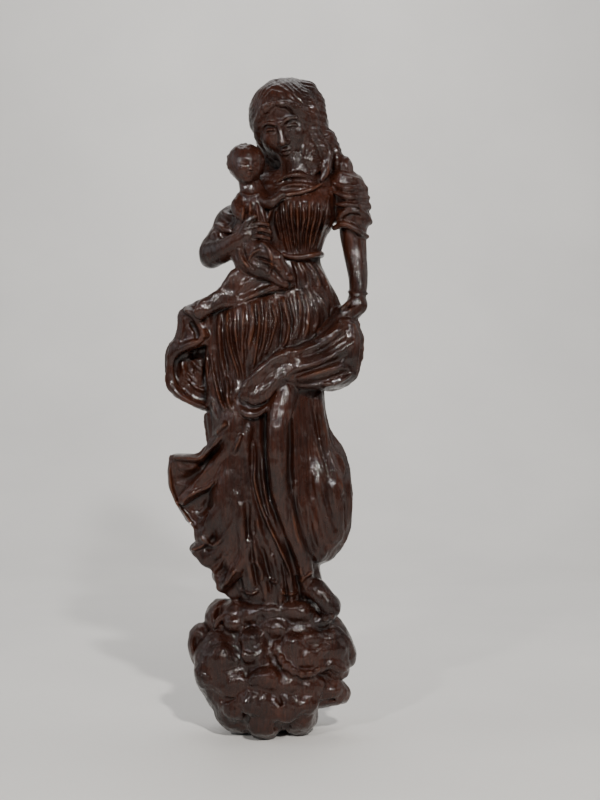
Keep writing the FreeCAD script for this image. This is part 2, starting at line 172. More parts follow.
        (282.8, -43.9, 1.5, (19.8, 20.3, 21.5, 23.9, 27.7, 24.4, 22.6, 17.4, 14.5, 17.5, 20.6, 19.3, 18.8, 26.3, 28.6, 32.8, 32.1, 4.4, 2.8, 3.4, 4, 6.1, 9.9, 13.3, 17.5, 21.3, 27.4, 35.1, 28.2, 23.8, 21.5, 20.3)),
        (289.9, -44.9, 0.5, (20.8, 21.3, 22.5, 25.1, 29.3, 26.8, 19.9, 17.4, 20.1, 20.4, 18.3, 17.6, 24.3, 26.2, 28.4, 30.7, 3.9, 1.8, 2.1, 2.2, 2.6, 3.8, 8, 11, 15.3, 20.5, 26.7, 34.4, 29.6, 25, 22.6, 21.3)),
        (297, -44.8, -1.4, (20.8, 21, 22.5, 25.1, 29.2, 29.7, 23.3, 22.7, 22.2, 19.5, 17.8, 22.7, 26.1, 25.2, 27.2, 28.3, 29.9, 28.3, 26.9, 23.3, 20.8, 24.5, 23.5, 20, 17.4, 18.4, 24.9, 33, 29.3, 25, 22.5, 21)),
        (304.1, -43.4, -1.5, (19.3, 19.5, 20.8, 23.3, 27.2, 27.8, 24.3, 24.7, 20.4, 18.4, 17.4, 24.9, 25.5, 25.3, 26.4, 25.8, 26.7, 25.9, 26.9, 25.4, 20.3, 16.5, 19.3, 22.2, 18, 18.3, 24.1, 34, 27.5, 23.2, 20.8, 19.5)),
        (311.2, -43, -1.4, (19, 19.3, 20.5, 22.8, 26.6, 27.7, 26.8, 20.9, 18.3, 17.9, 21.9, 23.7, 24, 25.2, 25.5, 25, 25.2, 24.8, 26.4, 24.8, 19.1, 20.2, 20.9, 19.3, 19, 18.9, 23.6, 33.5, 27, 22.8, 20.6, 19.3)),
        (318.4, -43.5, -3.1, (19.5, 19.8, 21, 23.5, 27.5, 30.4, 23.9, 19.5, 21.3, 24.4, 24, 23.6, 24.9, 25.5, 26.1, 23.9, 23.9, 23.3, 23.2, 22.3, 22.4, 21.6, 26.9, 26.6, 25.3, 20.2, 20.1, 28.1, 27.4, 23.5, 21, 19.8)),
        (325.5, -40, -3.8, (15.8, 16.3, 17.3, 19, 22.7, 28.1, 24.1, 22.1, 23.8, 25.8, 24.1, 22.8, 23.3, 23.4, 21.3, 20.5, 20, 19.7, 19, 17.6, 18.2, 20.2, 25.7, 25.5, 25, 25.5, 27, 28.2, 22.6, 19, 17.3, 16.3)),
        (332.6, -33.7, -3.5, (9.5, 9.8, 10.3, 11.5, 13.5, 17.4, 23.9, 23.6, 24, 25.1, 22.9, 18.4, 16.2, 13.6, 12.7, 12.2, 11.5, 11.5, 12, 13, 13.8, 15.8, 20, 24.8, 25, 25.5, 24.9, 17.5, 13.5, 11.5, 10.3, 9.8)),
        (339.8, -29.3, -3.8, (5.3, 5.2, 5.5, 6.2, 7.3, 9.3, 13.8, 23.2, 25.2, 22.6, 15.9, 11, 8.3, 7.7, 7, 6.3, 6, 6, 6.5, 7.5, 9, 10.5, 14.5, 22.5, 25.1, 25, 13.9, 9.3, 7.3, 6.2, 5.5, 5.2)),
        (346.9, -26.6, -6.4, (2.5, 2.5, 2.7, 3, 3.5, 4.5, 6.6, 13.2, 21.4, 16.3, 9.4, 7.4, 4.8, 4, 3.5, 3.5, 3.5, 3.8, 4.2, 4.8, 5.3, 6.3, 8.8, 14.9, 21.4, 13.2, 6.6, 4.5, 3.5, 3, 2.7, 2.5)),
        (354, -40.6, -8.4, (3.3, 3.5, 3.5, 4, 4.5, 5, 6, 6.8, 8, 9, 9.7, 9.7, 9.3, 8.7, 8.3, 7.7, 7.3, 6.7, 6.3, 5.7, 5.3, 5, 4.8, 4.7, 4.7, 4.8, 5, 4.7, 4.2, 3.8, 3.5, 3.5)),
    ],
    "forearm_left": [
        (313, 56.1, -8.5, (8.7, 8, 8.5, 13, 20, 23.8, 14.1, 9.3, 7.5, 7, 7.5, 9.3, 14, 20.2, 21.2, 16.1, 14.4, 8.4)),
        (320.6, 57.7, -11.2, (13.9, 2.2, 2, 3.7, 5.4, 16.6, 17.2, 11.3, 9, 8.5, 9, 11.2, 12.3, 14.4, 13.3, 13.7, 14.5, 16.5)),
        (328.1, 60.6, -9.1, (11.5, 8, 1.1, 1, 0.9, 1.4, 22.5, 15.2, 12.2, 11.6, 12.1, 1.2, 1, 6, 11.2, 13.3, 15, 14.2)),
        (335.7, 64.8, -8.2, (9.7, 9, 8.2, 7, 6, 5.2, 4.5, 4, 4, 4, 4.3, 5.3, 6.5, 7.8, 9.2, 10, 10.5, 10.2)),
        (343.2, 68, -7.2, (7.2, 7.3, 7.2, 7.2, 7.3, 7.2, 7.3, 7.2, 7, 7, 7.2, 7.3, 7.5, 7.7, 7.8, 7.7, 7.5, 7.3)),
        (350.8, 67.5, -4.9, (7.7, 7.8, 7.7, 7.8, 8, 8, 8, 7.8, 7.7, 7.5, 7.5, 7.7, 7.8, 8, 8, 8, 8, 7.8)),
        (358.3, 66.8, -2.9, (8.3, 8.3, 8.2, 8.3, 8.5, 8.5, 8.5, 8.5, 8.5, 8.3, 8.2, 8.3, 8.3, 8.2, 8.3, 8.5, 8.3, 8.2)),
        (365.9, 65.7, -1.1, (9, 9, 8.8, 9, 9, 9, 9, 9, 9, 8.8, 8.7, 8.7, 8.8, 9, 9, 9, 9, 9)),
        (373.4, 65, 0, (9.5, 9.5, 9.5, 9.5, 9.5, 9.7, 9.8, 9.7, 9.8, 9.7, 9.8, 9.7, 9.8, 9.7, 9.8, 9.7, 9.8, 9.7)),
        (381, 65.1, -0.7, (10, 10.3, 10.7, 11.3, 11.7, 12, 12, 11.7, 11.3, 10.7, 10.3, 9.7, 9.3, 13, 14, 12, 10.3, 9.8)),
    ],
    "mantle_hip_right": [
        (264, 39.7, -10.3, (17.6, 19, 21.5, 23.5, 25.4, 22.6, 22.9, 30.6, 31, 22.1, 18, 16, 15.5, 16, 18, 22.2, 30.4, 26.9, 26.3, 27.9, 26.7, 23.5, 21.5, 20.9)),
        (272.2, 43.1, -11.4, (22.3, 22.8, 25.7, 26.3, 27.6, 31.4, 30.1, 27.4, 37.4, 27, 22, 19.6, 19, 19.6, 22, 26.8, 34.1, 33.5, 30.2, 27.3, 27.6, 30.3, 26.8, 24.2)),
        (280.4, 44.3, -10.4, (23.1, 23.3, 26.5, 29.4, 28.6, 32.8, 30.5, 29.6, 38.7, 28.7, 23.3, 21, 20.3, 21, 23.3, 28.6, 37, 34, 28.4, 28.8, 30.7, 31.2, 29, 25.8)),
        (288.7, 45.5, -9.4, (23.6, 23.3, 25.3, 28.2, 28.8, 31.7, 31.5, 31.7, 37.6, 30.4, 24.8, 22, 21.3, 22, 24.8, 30.3, 34.2, 27.3, 29, 32.2, 33.2, 31, 29.2, 26.7)),
        (296.9, 46.1, -7.7, (24.2, 23.3, 23.5, 26, 29.4, 29.1, 29.2, 29.1, 39.3, 31.4, 25.5, 22.8, 22, 22.8, 25.5, 28.1, 25.9, 30.4, 31.2, 31.1, 34.8, 31.5, 27.5, 25.5)),
        (305.1, 45.3, -6.4, (22.5, 23.4, 22.3, 24.5, 26.7, 27.7, 28, 29.2, 36.2, 30.1, 24.5, 22, 21.3, 22, 24.6, 29.6, 22, 23.7, 27.6, 32.7, 34.4, 30.5, 26, 22.6)),
        (313.3, 42.6, -4.5, (20.1, 22.4, 20.1, 22.6, 22, 21.3, 23, 26.9, 33.4, 26.4, 21.3, 19.3, 18.5, 19.3, 21.3, 26.2, 26.9, 21, 17.2, 23.9, 27.7, 29.4, 27.9, 21.8)),
        (321.6, 41.5, -4.1, (15.2, 14.7, 15.5, 16.5, 17.6, 20.7, 23.3, 28.3, 34.6, 24.9, 20, 18, 17.5, 18, 20.1, 24.7, 26.1, 21.8, 18, 16, 16.8, 27.1, 32.5, 32.5)),
        (329.8, 39.9, -2.4, (13.5, 13.7, 14.3, 15.5, 16.6, 19.5, 21.3, 26.3, 29.7, 22.4, 18.3, 16.3, 15.8, 16.3, 18.3, 22.3, 26.5, 22.3, 19.2, 16.5, 14.5, 13.8, 13.5, 14)),
        (338, 39.5, -1.9, (10, 10.5, 11.3, 12.5, 14, 16.2, 18.3, 23, 27.7, 21.8, 17.8, 16, 15.3, 16, 17.8, 21.7, 24.1, 19.6, 16.7, 13.8, 12.7, 11.3, 10.5, 10.2)),
    ],
    "mantle_fall_right": [
        (117, 29.5, -5.3, (10.8, 11, 11.5, 12.3, 13.8, 16, 19, 22.1, 26.9, 28.6, 24.6, 17.2, 13.3, 11.3, 10.2, 9.5, 9.5, 9.5, 10.3, 11.3, 13.3, 17, 21.4, 23.5, 24.3, 25.5, 26.7, 23.6, 12.5, 11, 11, 10.7)),
        (126.1, 28, -4.4, (11, 11.5, 12.2, 13, 14.5, 16.5, 18.8, 21.8, 25.7, 27.4, 20.8, 14.4, 11.3, 9.5, 8.5, 8, 7.8, 8, 8.5, 9.5, 11.3, 14.4, 20.7, 25.6, 26.8, 25.6, 16.3, 12.8, 12.3, 12.2, 11.5, 11)),
        (135.1, 32.4, -2.9, (17.8, 19.1, 18.6, 20.6, 21.1, 22.4, 22.7, 22.2, 21.9, 24.8, 27.4, 22.3, 17.6, 14.8, 13.3, 12.5, 12.3, 12.5, 13.3, 14.8, 17.5, 22.4, 29.9, 30.1, 24.9, 18, 17.2, 17.2, 16.8, 16.8, 17.7, 17.3)),
        (144.2, 35.4, -2.2, (21.2, 22.8, 22.4, 24.3, 23.6, 23.5, 23, 22.8, 23.5, 24.3, 26.5, 27.5, 21.9, 18.5, 16.5, 15.5, 15.3, 15.5, 16.5, 18.6, 21.8, 28, 34.8, 22.8, 19.5, 19.7, 18.8, 18.8, 19.7, 20.2, 20.8, 22.1)),
        (153.2, 37.4, -2, (23.3, 23.9, 24.1, 25.2, 24.8, 24, 24.4, 22.8, 22.9, 25.8, 26.9, 29.9, 24.6, 20.8, 18.8, 17.5, 17.3, 17.5, 18.8, 20.8, 24.7, 30.8, 26.6, 22.6, 22.1, 20.1, 21, 21.5, 22.3, 22.9, 22.1, 23.6)),
        (162.3, 38.3, -1.7, (23.9, 24.9, 24.4, 25.4, 24.1, 24.3, 25.4, 23.5, 22.4, 25.1, 27.2, 30.4, 25.8, 21.8, 19.8, 18.5, 18.3, 18.5, 19.8, 21.8, 25.9, 32.2, 27.5, 24.9, 23.1, 23, 22.7, 21.9, 23.6, 22.8, 23.3, 24.9)),
        (171.4, 38.7, -1.7, (24.3, 24.3, 24.5, 24.7, 23.7, 22.9, 24.4, 24.5, 24.2, 23.3, 28.7, 33, 26.4, 22.3, 20.1, 19, 18.6, 19, 20.1, 22.3, 26.5, 32.9, 27.7, 25.2, 24.1, 24.3, 22.4, 23.9, 24.4, 22.9, 24.2, 24.9)),
        (180.4, 38.7, -1.6, (24.9, 23.6, 24.7, 24.3, 24.9, 23.9, 22.5, 26, 24.6, 23.9, 27.9, 33, 26.5, 22.5, 20.3, 19, 18.5, 19, 20.3, 22.5, 26.4, 32.3, 27.9, 24.6, 25.1, 23.6, 23.3, 24.7, 23.8, 23.4, 25.1, 24.6)),
        (189.5, 38.5, -1.5, (24.6, 23.1, 24.2, 23.8, 24.5, 25.3, 22.6, 23.1, 25.6, 24.5, 25.2, 32.6, 26.2, 22.2, 20.1, 18.8, 18.5, 18.8, 20, 22.3, 26.2, 32.7, 27.4, 24.4, 25.1, 22.7, 23.7, 24.3, 24.7, 23.6, 24.9, 24.1)),
        (198.5, 38, -1.2, (23.1, 23.4, 22.8, 23.4, 22.9, 24.8, 22.7, 20.6, 25, 24.3, 26, 31.7, 25.5, 21.5, 19.3, 18.2, 17.8, 18.2, 19.3, 21.5, 25.5, 31.7, 26.7, 23.8, 23.5, 22.5, 22.1, 24.1, 24, 23.7, 23.6, 24.1)),
        (207.6, 36.9, -0.9, (22.3, 22.4, 21.6, 21.7, 21.4, 22.9, 22.8, 19.5, 22.2, 24.4, 24.8, 29.7, 23.9, 20.3, 18.3, 17, 16.8, 17, 18.3, 20.3, 23.9, 29.8, 26.3, 22.3, 21.3, 20.5, 21.3, 22.4, 22.3, 23.2, 22.8, 23.2)),
        (216.6, 35, -0.4, (21, 20.7, 18.8, 18.7, 19.1, 21.5, 23.2, 19.5, 21.5, 24.8, 24.9, 26.6, 21.2, 18, 16.1, 15.3, 15, 15.3, 16, 18, 21.1, 26.8, 27.5, 22.2, 20.7, 19.4, 20.2, 21.4, 21, 20.1, 21.4, 21.7)),
        (225.7, 32.6, 0.1, (17.2, 16.5, 16.1, 17.7, 18.6, 21.3, 23.7, 19.3, 21.7, 24.5, 25.1, 22.4, 17.8, 15, 13.5, 12.8, 12.5, 12.8, 13.5, 15.1, 17.8, 22.6, 28.5, 23.5, 21.6, 19.4, 20, 21.4, 19.1, 18.1, 18.6, 16.6)),
        (234.8, 31.4, 0.1, (13.8, 14.5, 14.8, 16.5, 18.2, 20.4, 23.4, 19.8, 21.3, 24.6, 24.1, 20.5, 16.1, 13.5, 12.3, 11.5, 11.3, 11.5, 12.2, 13.6, 16, 20.7, 28.2, 23.5, 21.6, 19.2, 20.7, 21.1, 17.8, 16.5, 15, 13.6)),
        (243.8, 30.6, 0.2, (12.8, 13.7, 14, 15.5, 17.5, 19.4, 22.5, 20.8, 20.6, 24.8, 27, 19, 14.8, 12.6, 11.3, 10.8, 10.5, 10.8, 11.3, 12.6, 14.8, 19, 27, 23.9, 21.7, 19.7, 21.4, 20.4, 16.8, 15.5, 14, 12.8)),
        (252.9, 29.9, -0.4, (12.5, 13, 14, 15.1, 17.4, 19.1, 22.1, 21.8, 22.3, 25, 25.4, 18, 14, 11.8, 10.5, 10, 9.8, 10, 10.5, 11.8, 14, 18, 25.4, 24, 21, 19.8, 20.4, 19.4, 16.1, 14.8, 14, 13)),
        (261.9, 35.4, -8.3, (19, 19.8, 21.7, 23.4, 23.2, 20.9, 18, 22.2, 26.5, 30.1, 33.4, 27.8, 21.8, 18.5, 16.5, 15.5, 15.3, 15.5, 16.5, 18.5, 21.9, 27.5, 27.5, 26.3, 26, 25.8, 26.7, 25.8, 24.5, 23, 20.9, 18.2)),
        (271, 40.6, -11.1, (24.4, 25, 25.3, 27.2, 28.4, 28.7, 32.3, 28.8, 28.5, 27, 35.6, 36.7, 29.1, 24.6, 22.3, 20.8, 20.5, 20.8, 22.3, 24.6, 29.1, 34.7, 34.3, 33.2, 30.3, 28, 27.1, 29.5, 31.8, 28.6, 26.8, 26.6)),
    ],
    "mantle_swag": [
        (236, -0.8, -26, (23.4, 40.1, 26.5, 17.8, 14.1, 11.8, 10.8, 10, 9.8, 10, 10.8, 11.8, 14, 17.9, 25.8, 29.6, 29.1, 29.6, 25.1, 11.3, 7.3, 2.5, 2.2, 2.2, 3.2, 17.9, 21.6, 22.6, 21.8, 20.2, 18, 16)),
        (242.3, -0.8, -26.5, (22.1, 40, 27.7, 18.8, 14.8, 12.5, 11.3, 10.5, 10.3, 10.5, 11.3, 12.5, 14.8, 18.9, 27, 29.6, 29.1, 29.2, 23.9, 20.2, 17.3, 14.6, 12.4, 2.4, 2.5, 15.3, 19.5, 21.6, 21.8, 21.6, 20.3, 18.7)),
        (248.6, -0.2, -26.2, (22.9, 39.6, 27, 18.3, 14.3, 12, 11, 10.3, 10, 10.3, 11, 12, 14.3, 18.4, 26.3, 30.1, 29.8, 29.8, 24.4, 17.4, 14.5, 11.8, 10.5, 10.8, 12, 14.3, 18, 20.5, 22, 22.4, 21.6, 20.4)),
        (254.9, -0.5, -27.2, (23.4, 31.5, 28.8, 20.2, 15.8, 13.3, 12, 11.3, 11, 11.3, 12, 13.3, 15.8, 20.2, 28.7, 30, 29.3, 24.6, 21.1, 21.5, 21.6, 19.3, 17.3, 16.3, 15.1, 12.5, 14.7, 17.7, 20, 21.9, 22.3, 22.2)),
        (261.1, 3.7, -27.1, (35.6, 34.5, 28.6, 20, 15.5, 13.3, 11.8, 11.3, 11, 11.3, 11.8, 13.3, 15.5, 19.9, 28.6, 34.1, 33.1, 24.6, 24.5, 26.5, 22.5, 18.8, 17.3, 16.7, 15.7, 14.6, 14.5, 15.5, 17.2, 18.3, 19.4, 22.3)),
        (267.4, 7.5, -27.9, (32.6, 32.9, 30.7, 21.5, 16.8, 14.3, 12.8, 12, 11.8, 12, 12.8, 14.3, 16.8, 21.4, 31, 37.5, 30.9, 25.2, 25.5, 26.2, 21.1, 17.6, 16.3, 15.8, 15.7, 15.5, 15.3, 15, 16.7, 24.1, 29.5, 32.8)),
        (273.7, 9.5, -28, (30.2, 31.1, 30.8, 21.8, 17, 14.3, 13, 12.3, 12, 12.3, 13, 14.3, 17, 21.7, 31.3, 39.7, 33.1, 22, 22, 23.7, 21.9, 17.6, 15.5, 15, 15, 15.5, 16.7, 17.3, 19.3, 23.8, 32.3, 31.1)),
        (280, 10.2, -27.6, (29.8, 30.3, 29.9, 21, 16.3, 13.8, 12.5, 11.8, 11.5, 11.8, 12.5, 13.8, 16.3, 20.9, 30.3, 40.5, 35.7, 21.4, 15.9, 16.3, 18.6, 18.5, 16.8, 15.3, 14.8, 15, 16.3, 18.3, 21.9, 28.9, 31.8, 30.3)),
        (286.3, 9.2, -26.4, (30.8, 31.1, 26.8, 18.7, 14.5, 12.5, 11.3, 10.5, 10.3, 10.5, 11.3, 12.5, 14.6, 18.6, 27.2, 39.2, 37.4, 24, 12.1, 8.6, 8.5, 9.3, 11.1, 15.6, 16.5, 17, 17.8, 19.7, 20.3, 22.7, 30.2, 31.2)),
        (292.6, 6.8, -24.5, (33.1, 33.3, 22.2, 15.3, 12, 10, 9, 8.5, 8.3, 8.5, 9, 10, 12.1, 15.3, 22.4, 36.8, 36.7, 31.4, 23.2, 14.4, 10.5, 8.8, 7.5, 7.2, 6.8, 6.5, 6.8, 8.5, 9.4, 12.4, 33, 33.9)),
        (298.9, 3.4, -23.7, (36, 36.6, 20.5, 13.8, 10.8, 9.2, 8.3, 7.7, 7.5, 7.7, 8.3, 9.2, 10.8, 13.8, 20.4, 33.3, 33.5, 33.5, 25.5, 20.6, 15.4, 11.5, 8.6, 8.5, 9, 8.3, 8.3, 8, 8, 13.8, 16.3, 21.4)),
        (305.1, 2.2, -23.5, (37.3, 37.5, 20.1, 13.3, 10.6, 9, 8, 7.5, 7.3, 7.5, 8, 9, 10.6, 13.3, 19.9, 32.1, 32.2, 32.3, 24.5, 18.9, 13.8, 10.6, 10.7, 9, 7.9, 9.2, 9.7, 9.3, 9, 9.7, 16.2, 24)),
        (311.4, 2, -23.2, (36.8, 36.3, 19.3, 13, 10.1, 8.5, 7.8, 7.2, 7, 7.2, 7.8, 8.5, 10.1, 13, 19.1, 31.9, 32.2, 32.1, 24.1, 18.7, 17.4, 10.6, 9.9, 9, 7.3, 8.1, 9.9, 9.5, 9.2, 9.7, 16, 24.7)),
        (317.7, 2.7, -22.7, (36.8, 34, 18, 12, 9.6, 8, 7.3, 6.7, 6.5, 6.7, 7.3, 8, 9.6, 12, 18, 32.6, 32.5, 29.1, 23.8, 18.7, 13.8, 9.7, 9.6, 7.3, 7.1, 8.4, 8.7, 8.2, 8.5, 13.7, 15.1, 24.4)),
        (324, 2.7, -21.9, (36.5, 30, 15.9, 10.5, 8.3, 7, 6.3, 6, 5.8, 6, 6.3, 7, 8.3, 10.5, 16, 29.7, 32.6, 32.6, 20.4, 14.8, 9.5, 8.7, 7.5, 6.3, 6.5, 6.7, 7, 7.4, 7.7, 12.7, 16.6, 24.3)),
    ],
    "skirt": [
        (96, 2.3, -2.6, (36.4, 36.1, 37.3, 40.7, 41.2, 39.8, 36.1, 32.9, 31.6, 29.5, 27.7, 28.2, 27.9, 27, 27.9, 28.7, 29.2, 32.1, 36.2, 39.8, 41.1, 42.8, 45.7, 47.8, 47.5, 45.2, 38.9, 37.6, 35.8, 32, 30.5, 29.7, 28.2, 26.4, 25.9, 26.7, 26.7, 26.5, 27.2, 30, 33.5, 36.7, 38.8, 40.7, 49.1, 46.8, 38.3, 35.9)),
        (103, 8.1, -2.6, (31.6, 31, 31.1, 31.2, 31, 31.1, 31.6, 30.2, 28.2, 28.8, 29.9, 27.9, 27.7, 29.3, 29, 28.7, 30.7, 31.5, 30.2, 31.1, 34.2, 37.1, 37.7, 37.6, 38.1, 38.1, 37.5, 32.6, 29.8, 28.8, 27.9, 26.1, 25.2, 25.6, 24.7, 23.7, 24.5, 24.6, 24.6, 26.7, 28, 28.9, 32.3, 44.4, 30.8, 29.3, 30.5, 31.5)),
        (111, 5.5, -3, (35, 34.6, 34.8, 34.9, 34.3, 34.1, 34.3, 32, 30.3, 31.6, 31.7, 29.2, 29, 30.9, 30.3, 30.4, 32.6, 32.6, 31.3, 32.6, 36.1, 40.1, 41.5, 40.4, 40.6, 42.4, 44.8, 41.2, 32, 29.3, 29.3, 29.2, 28.3, 26.3, 26.4, 24.3, 24.6, 26.7, 26.3, 26.9, 27.9, 29, 43, 49.4, 46.4, 39.6, 34.5, 34.9)),
        (120, 0.1, -2.2, (39.7, 39.5, 39.4, 38.8, 38, 37.4, 35.4, 33, 33.2, 33.2, 30, 28.9, 30.4, 30.8, 29.7, 30.3, 32, 31.3, 30.7, 32.5, 35.8, 41.6, 43.3, 42.6, 42.7, 42.8, 42.5, 39.4, 37.8, 38.4, 33.8, 29.2, 29.2, 29.2, 27.5, 28.8, 26.8, 27.5, 29, 29, 30.7, 32.3, 39.4, 42.2, 43.4, 40.3, 39.1, 39.9)),
        (131, -0.4, -2.4, (46.1, 46.1, 46, 41.5, 38.3, 36.8, 35.2, 33.2, 32.8, 33.1, 31.3, 29.4, 30.2, 32.4, 31.2, 31.1, 33.3, 35.1, 34, 35.3, 38, 41.1, 44.5, 45.7, 45.5, 45.9, 46.4, 41.3, 36.1, 35.2, 35.3, 35.5, 33.4, 30.8, 30.7, 29.5, 26.8, 29, 29.6, 29.6, 32, 32.3, 40.4, 41.6, 38.9, 38.7, 42.3, 45)),
        (144, 0.4, -3.1, (45.6, 46, 47.1, 48.8, 46.1, 40.6, 35.9, 33, 32.8, 33.3, 31.9, 30, 30.9, 32.7, 32.1, 32.2, 34.5, 36.7, 36, 37.8, 40.8, 44.3, 47.6, 46.9, 46.3, 46.8, 47.8, 46.8, 43.3, 40.4, 38.5, 35.4, 34.8, 32.1, 31.5, 29.8, 29.8, 29.7, 32.6, 31.1, 34.2, 40.1, 39.2, 37.1, 39.3, 44.5, 46.8, 46)),
        (158, 0.2, -3.4, (45.8, 46.1, 47.3, 49.3, 48.6, 43.1, 37.4, 34.1, 34.4, 34.1, 31.7, 31.2, 33, 32.7, 32, 33.6, 36, 36.2, 36.5, 39.4, 42.6, 46.1, 47.6, 46.6, 46.1, 46.5, 47.9, 49.1, 44.6, 42.8, 41.5, 38.6, 37, 31.9, 31.3, 30.9, 31, 30.9, 30.8, 35.8, 39.3, 37.2, 34.9, 37, 43.1, 48.8, 47.4, 46)),
        (173, 0.7, -3.7, (45.2, 45.6, 46.7, 49.3, 50.9, 42.1, 39.7, 35.8, 35.7, 34.3, 32.2, 32.7, 34.1, 32.5, 32.7, 35.1, 35.7, 36.1, 37.9, 40.5, 42.1, 46.7, 48.1, 47.1, 46.6, 46.9, 46.3, 46.3, 46.6, 45, 42.7, 39.8, 36.9, 33.2, 31.2, 32.1, 31.3, 30.2, 36.5, 37.8, 36.2, 33, 34.5, 38.6, 45.2, 48.6, 46.8, 45.6)),
        (189, 0, -3.6, (45.8, 46.3, 47.6, 49.6, 49, 43.3, 38.3, 37.3, 36.6, 34.3, 32.7, 33.2, 33.3, 32.2, 33.5, 35.3, 35.2, 36.4, 39.1, 40.7, 42.6, 47, 47.5, 46.3, 46.1, 46.3, 47.7, 49.1, 45.2, 44.3, 42.5, 39.1, 35.3, 33.9, 32.7, 29.6, 28.5, 38, 40.2, 37.6, 32.4, 32.7, 34.5, 37.3, 45.2, 49.3, 47.6, 46.3)),
        (205, -0.1, -3.7, (46.1, 46.5, 47.7, 49.2, 46.2, 44.5, 37.5, 35.7, 35.2, 33.3, 32.6, 33.2, 33.2, 33, 34.7, 35.6, 35.4, 36.3, 38.2, 39.6, 40.9, 42.2, 46.7, 46.4, 45.8, 46.1, 45.7, 47.6, 47.8, 43.7, 40.2, 37.3, 34.6, 31, 29.4, 28.7, 33.6, 41.4, 42.4, 37, 29.8, 30.7, 33.4, 35.1, 38.8, 45.1, 47.3, 46.5)),
        (220, -1.1, -3.5, (47, 47.6, 48.8, 50.6, 49.5, 43.1, 37.8, 36.8, 36.1, 33.7, 32.5, 31.8, 31.5, 31.6, 32.9, 34, 34.3, 35.8, 37.9, 40.9, 48.2, 48.3, 46.3, 44.8, 44.2, 45.1, 45.2, 47.1, 46.6, 42.4, 41.3, 39.3, 36.9, 33.6, 29.8, 27, 27.3, 41.9, 44.4, 40, 30.6, 28.8, 32.5, 34.3, 36.9, 42, 48.1, 47.6)),
        (234, -1.8, -3.1, (46.9, 48, 48.6, 48.9, 48.7, 41.6, 36.2, 33.9, 33.6, 32.9, 33.2, 33.3, 33.3, 33.8, 34.5, 35.5, 36.3, 37.2, 37.6, 40, 46.2, 47.6, 45.8, 44.5, 44.1, 44.3, 43.1, 42.3, 42.1, 43.1, 44.4, 40.5, 38.1, 34, 30, 27.6, 26.6, 41, 44.4, 41.5, 34.5, 29.9, 32.5, 34.5, 37.4, 40.7, 46.6, 47.3)),
        (247, -2.1, -4, (44.8, 46, 46.5, 47.6, 47.3, 41.4, 40, 37.9, 36.1, 34.1, 33.2, 32.3, 31.6, 32.2, 32.6, 34, 35.3, 36.8, 38.8, 41.5, 44.8, 47.1, 45.4, 44.2, 43.9, 44.1, 43.6, 42.5, 40.1, 40.1, 39.1, 38.5, 37.6, 34.9, 33.2, 32.5, 34.1, 37.1, 40.7, 41.7, 40.2, 35.6, 32.6, 33.6, 36, 39.8, 44.9, 45.1)),
        (260, -2.3, -4.1, (47.9, 48.2, 45.8, 46, 44.5, 41.6, 37.9, 35.4, 34.7, 33.9, 34.4, 34.5, 34.7, 35, 35.6, 36.9, 37.5, 38, 38.7, 41.2, 48.3, 47.4, 45.3, 44.1, 43.6, 43.9, 43.6, 41, 36.7, 36.8, 35.8, 33.4, 35.3, 40.4, 40.3, 39.1, 39.2, 38.9, 38, 39, 39.6, 38.3, 36.5, 35.2, 36.4, 40.1, 43.6, 44.4)),
        (272, 3.1, -6.5, (42.8, 43.3, 44.3, 46.4, 47.4, 39.4, 37.9, 37.8, 37.3, 37.1, 35.8, 35, 34.8, 34.8, 35.5, 36.4, 38.7, 41, 43.1, 47, 52.7, 52.9, 50.8, 49.4, 49, 48.7, 47, 41, 36.4, 34, 31.6, 29.2, 32.5, 38, 38.2, 36.6, 36.3, 37.1, 38.4, 38.5, 39.6, 46, 51.2, 53.4, 49.7, 46.3, 44.3, 43.3)),
        (284, 3.5, -5.2, (42.5, 42.8, 44, 46.2, 48, 41.5, 37.8, 35.8, 34.1, 34, 33.8, 34, 34.8, 35.9, 36.5, 37.5, 39, 40.6, 41.5, 44.3, 48.8, 52.9, 51.2, 49.8, 49.3, 49.6, 48.4, 43.3, 38.6, 37.8, 35.2, 31.5, 30.2, 29.1, 26.4, 27.2, 36.6, 38.8, 39.3, 40.5, 41.3, 43.9, 50.4, 53, 49.2, 46.1, 44, 42.8)),
        (296, 1.7, -2.7, (44.3, 44.6, 45.8, 47.8, 47.9, 40.5, 38.6, 37.5, 35.7, 34.1, 32.9, 31.6, 31.5, 31.5, 31.8, 32.4, 34.8, 37.4, 39.1, 41.7, 44.9, 50.7, 49.4, 48, 47.6, 48.1, 48.7, 44.7, 43.3, 40.8, 38.6, 37.2, 35.3, 33.9, 31.9, 30.9, 29.9, 29.1, 28.3, 31.1, 31.5, 32, 37.7, 53.6, 51.4, 47.7, 45.8, 44.5)),
        (308, 0.6, -2.5, (45.3, 45.8, 46.9, 48.5, 45.3, 41.3, 38, 35.1, 33.3, 32.1, 31.5, 31.3, 31.4, 31.3, 31.3, 31.8, 33.2, 34.1, 35.6, 39, 45.1, 49.3, 48.3, 47, 46.6, 47.1, 47.8, 44.9, 42.7, 40.7, 38.4, 37.7, 36.7, 34.7, 31.8, 29.9, 29.6, 30.1, 29.1, 29.2, 32, 34.9, 36.1, 40.2, 50.8, 49.3, 46.8, 45.8)),
        (319, 0.1, -2.1, (45.8, 46.3, 47.6, 48.9, 44.5, 41.2, 38.8, 36.5, 34.5, 32.1, 30.8, 30.2, 29.5, 29.3, 30, 31, 32, 33, 34.9, 37.8, 41.2, 48.7, 47.7, 46.3, 46, 46.3, 47.5, 50, 51.4, 39.5, 36.6, 35.6, 34.3, 33.3, 30.5, 28.2, 28.5, 28.7, 28.3, 28.5, 30.7, 33.3, 36.5, 40, 43.9, 48.4, 47.6, 46.3)),
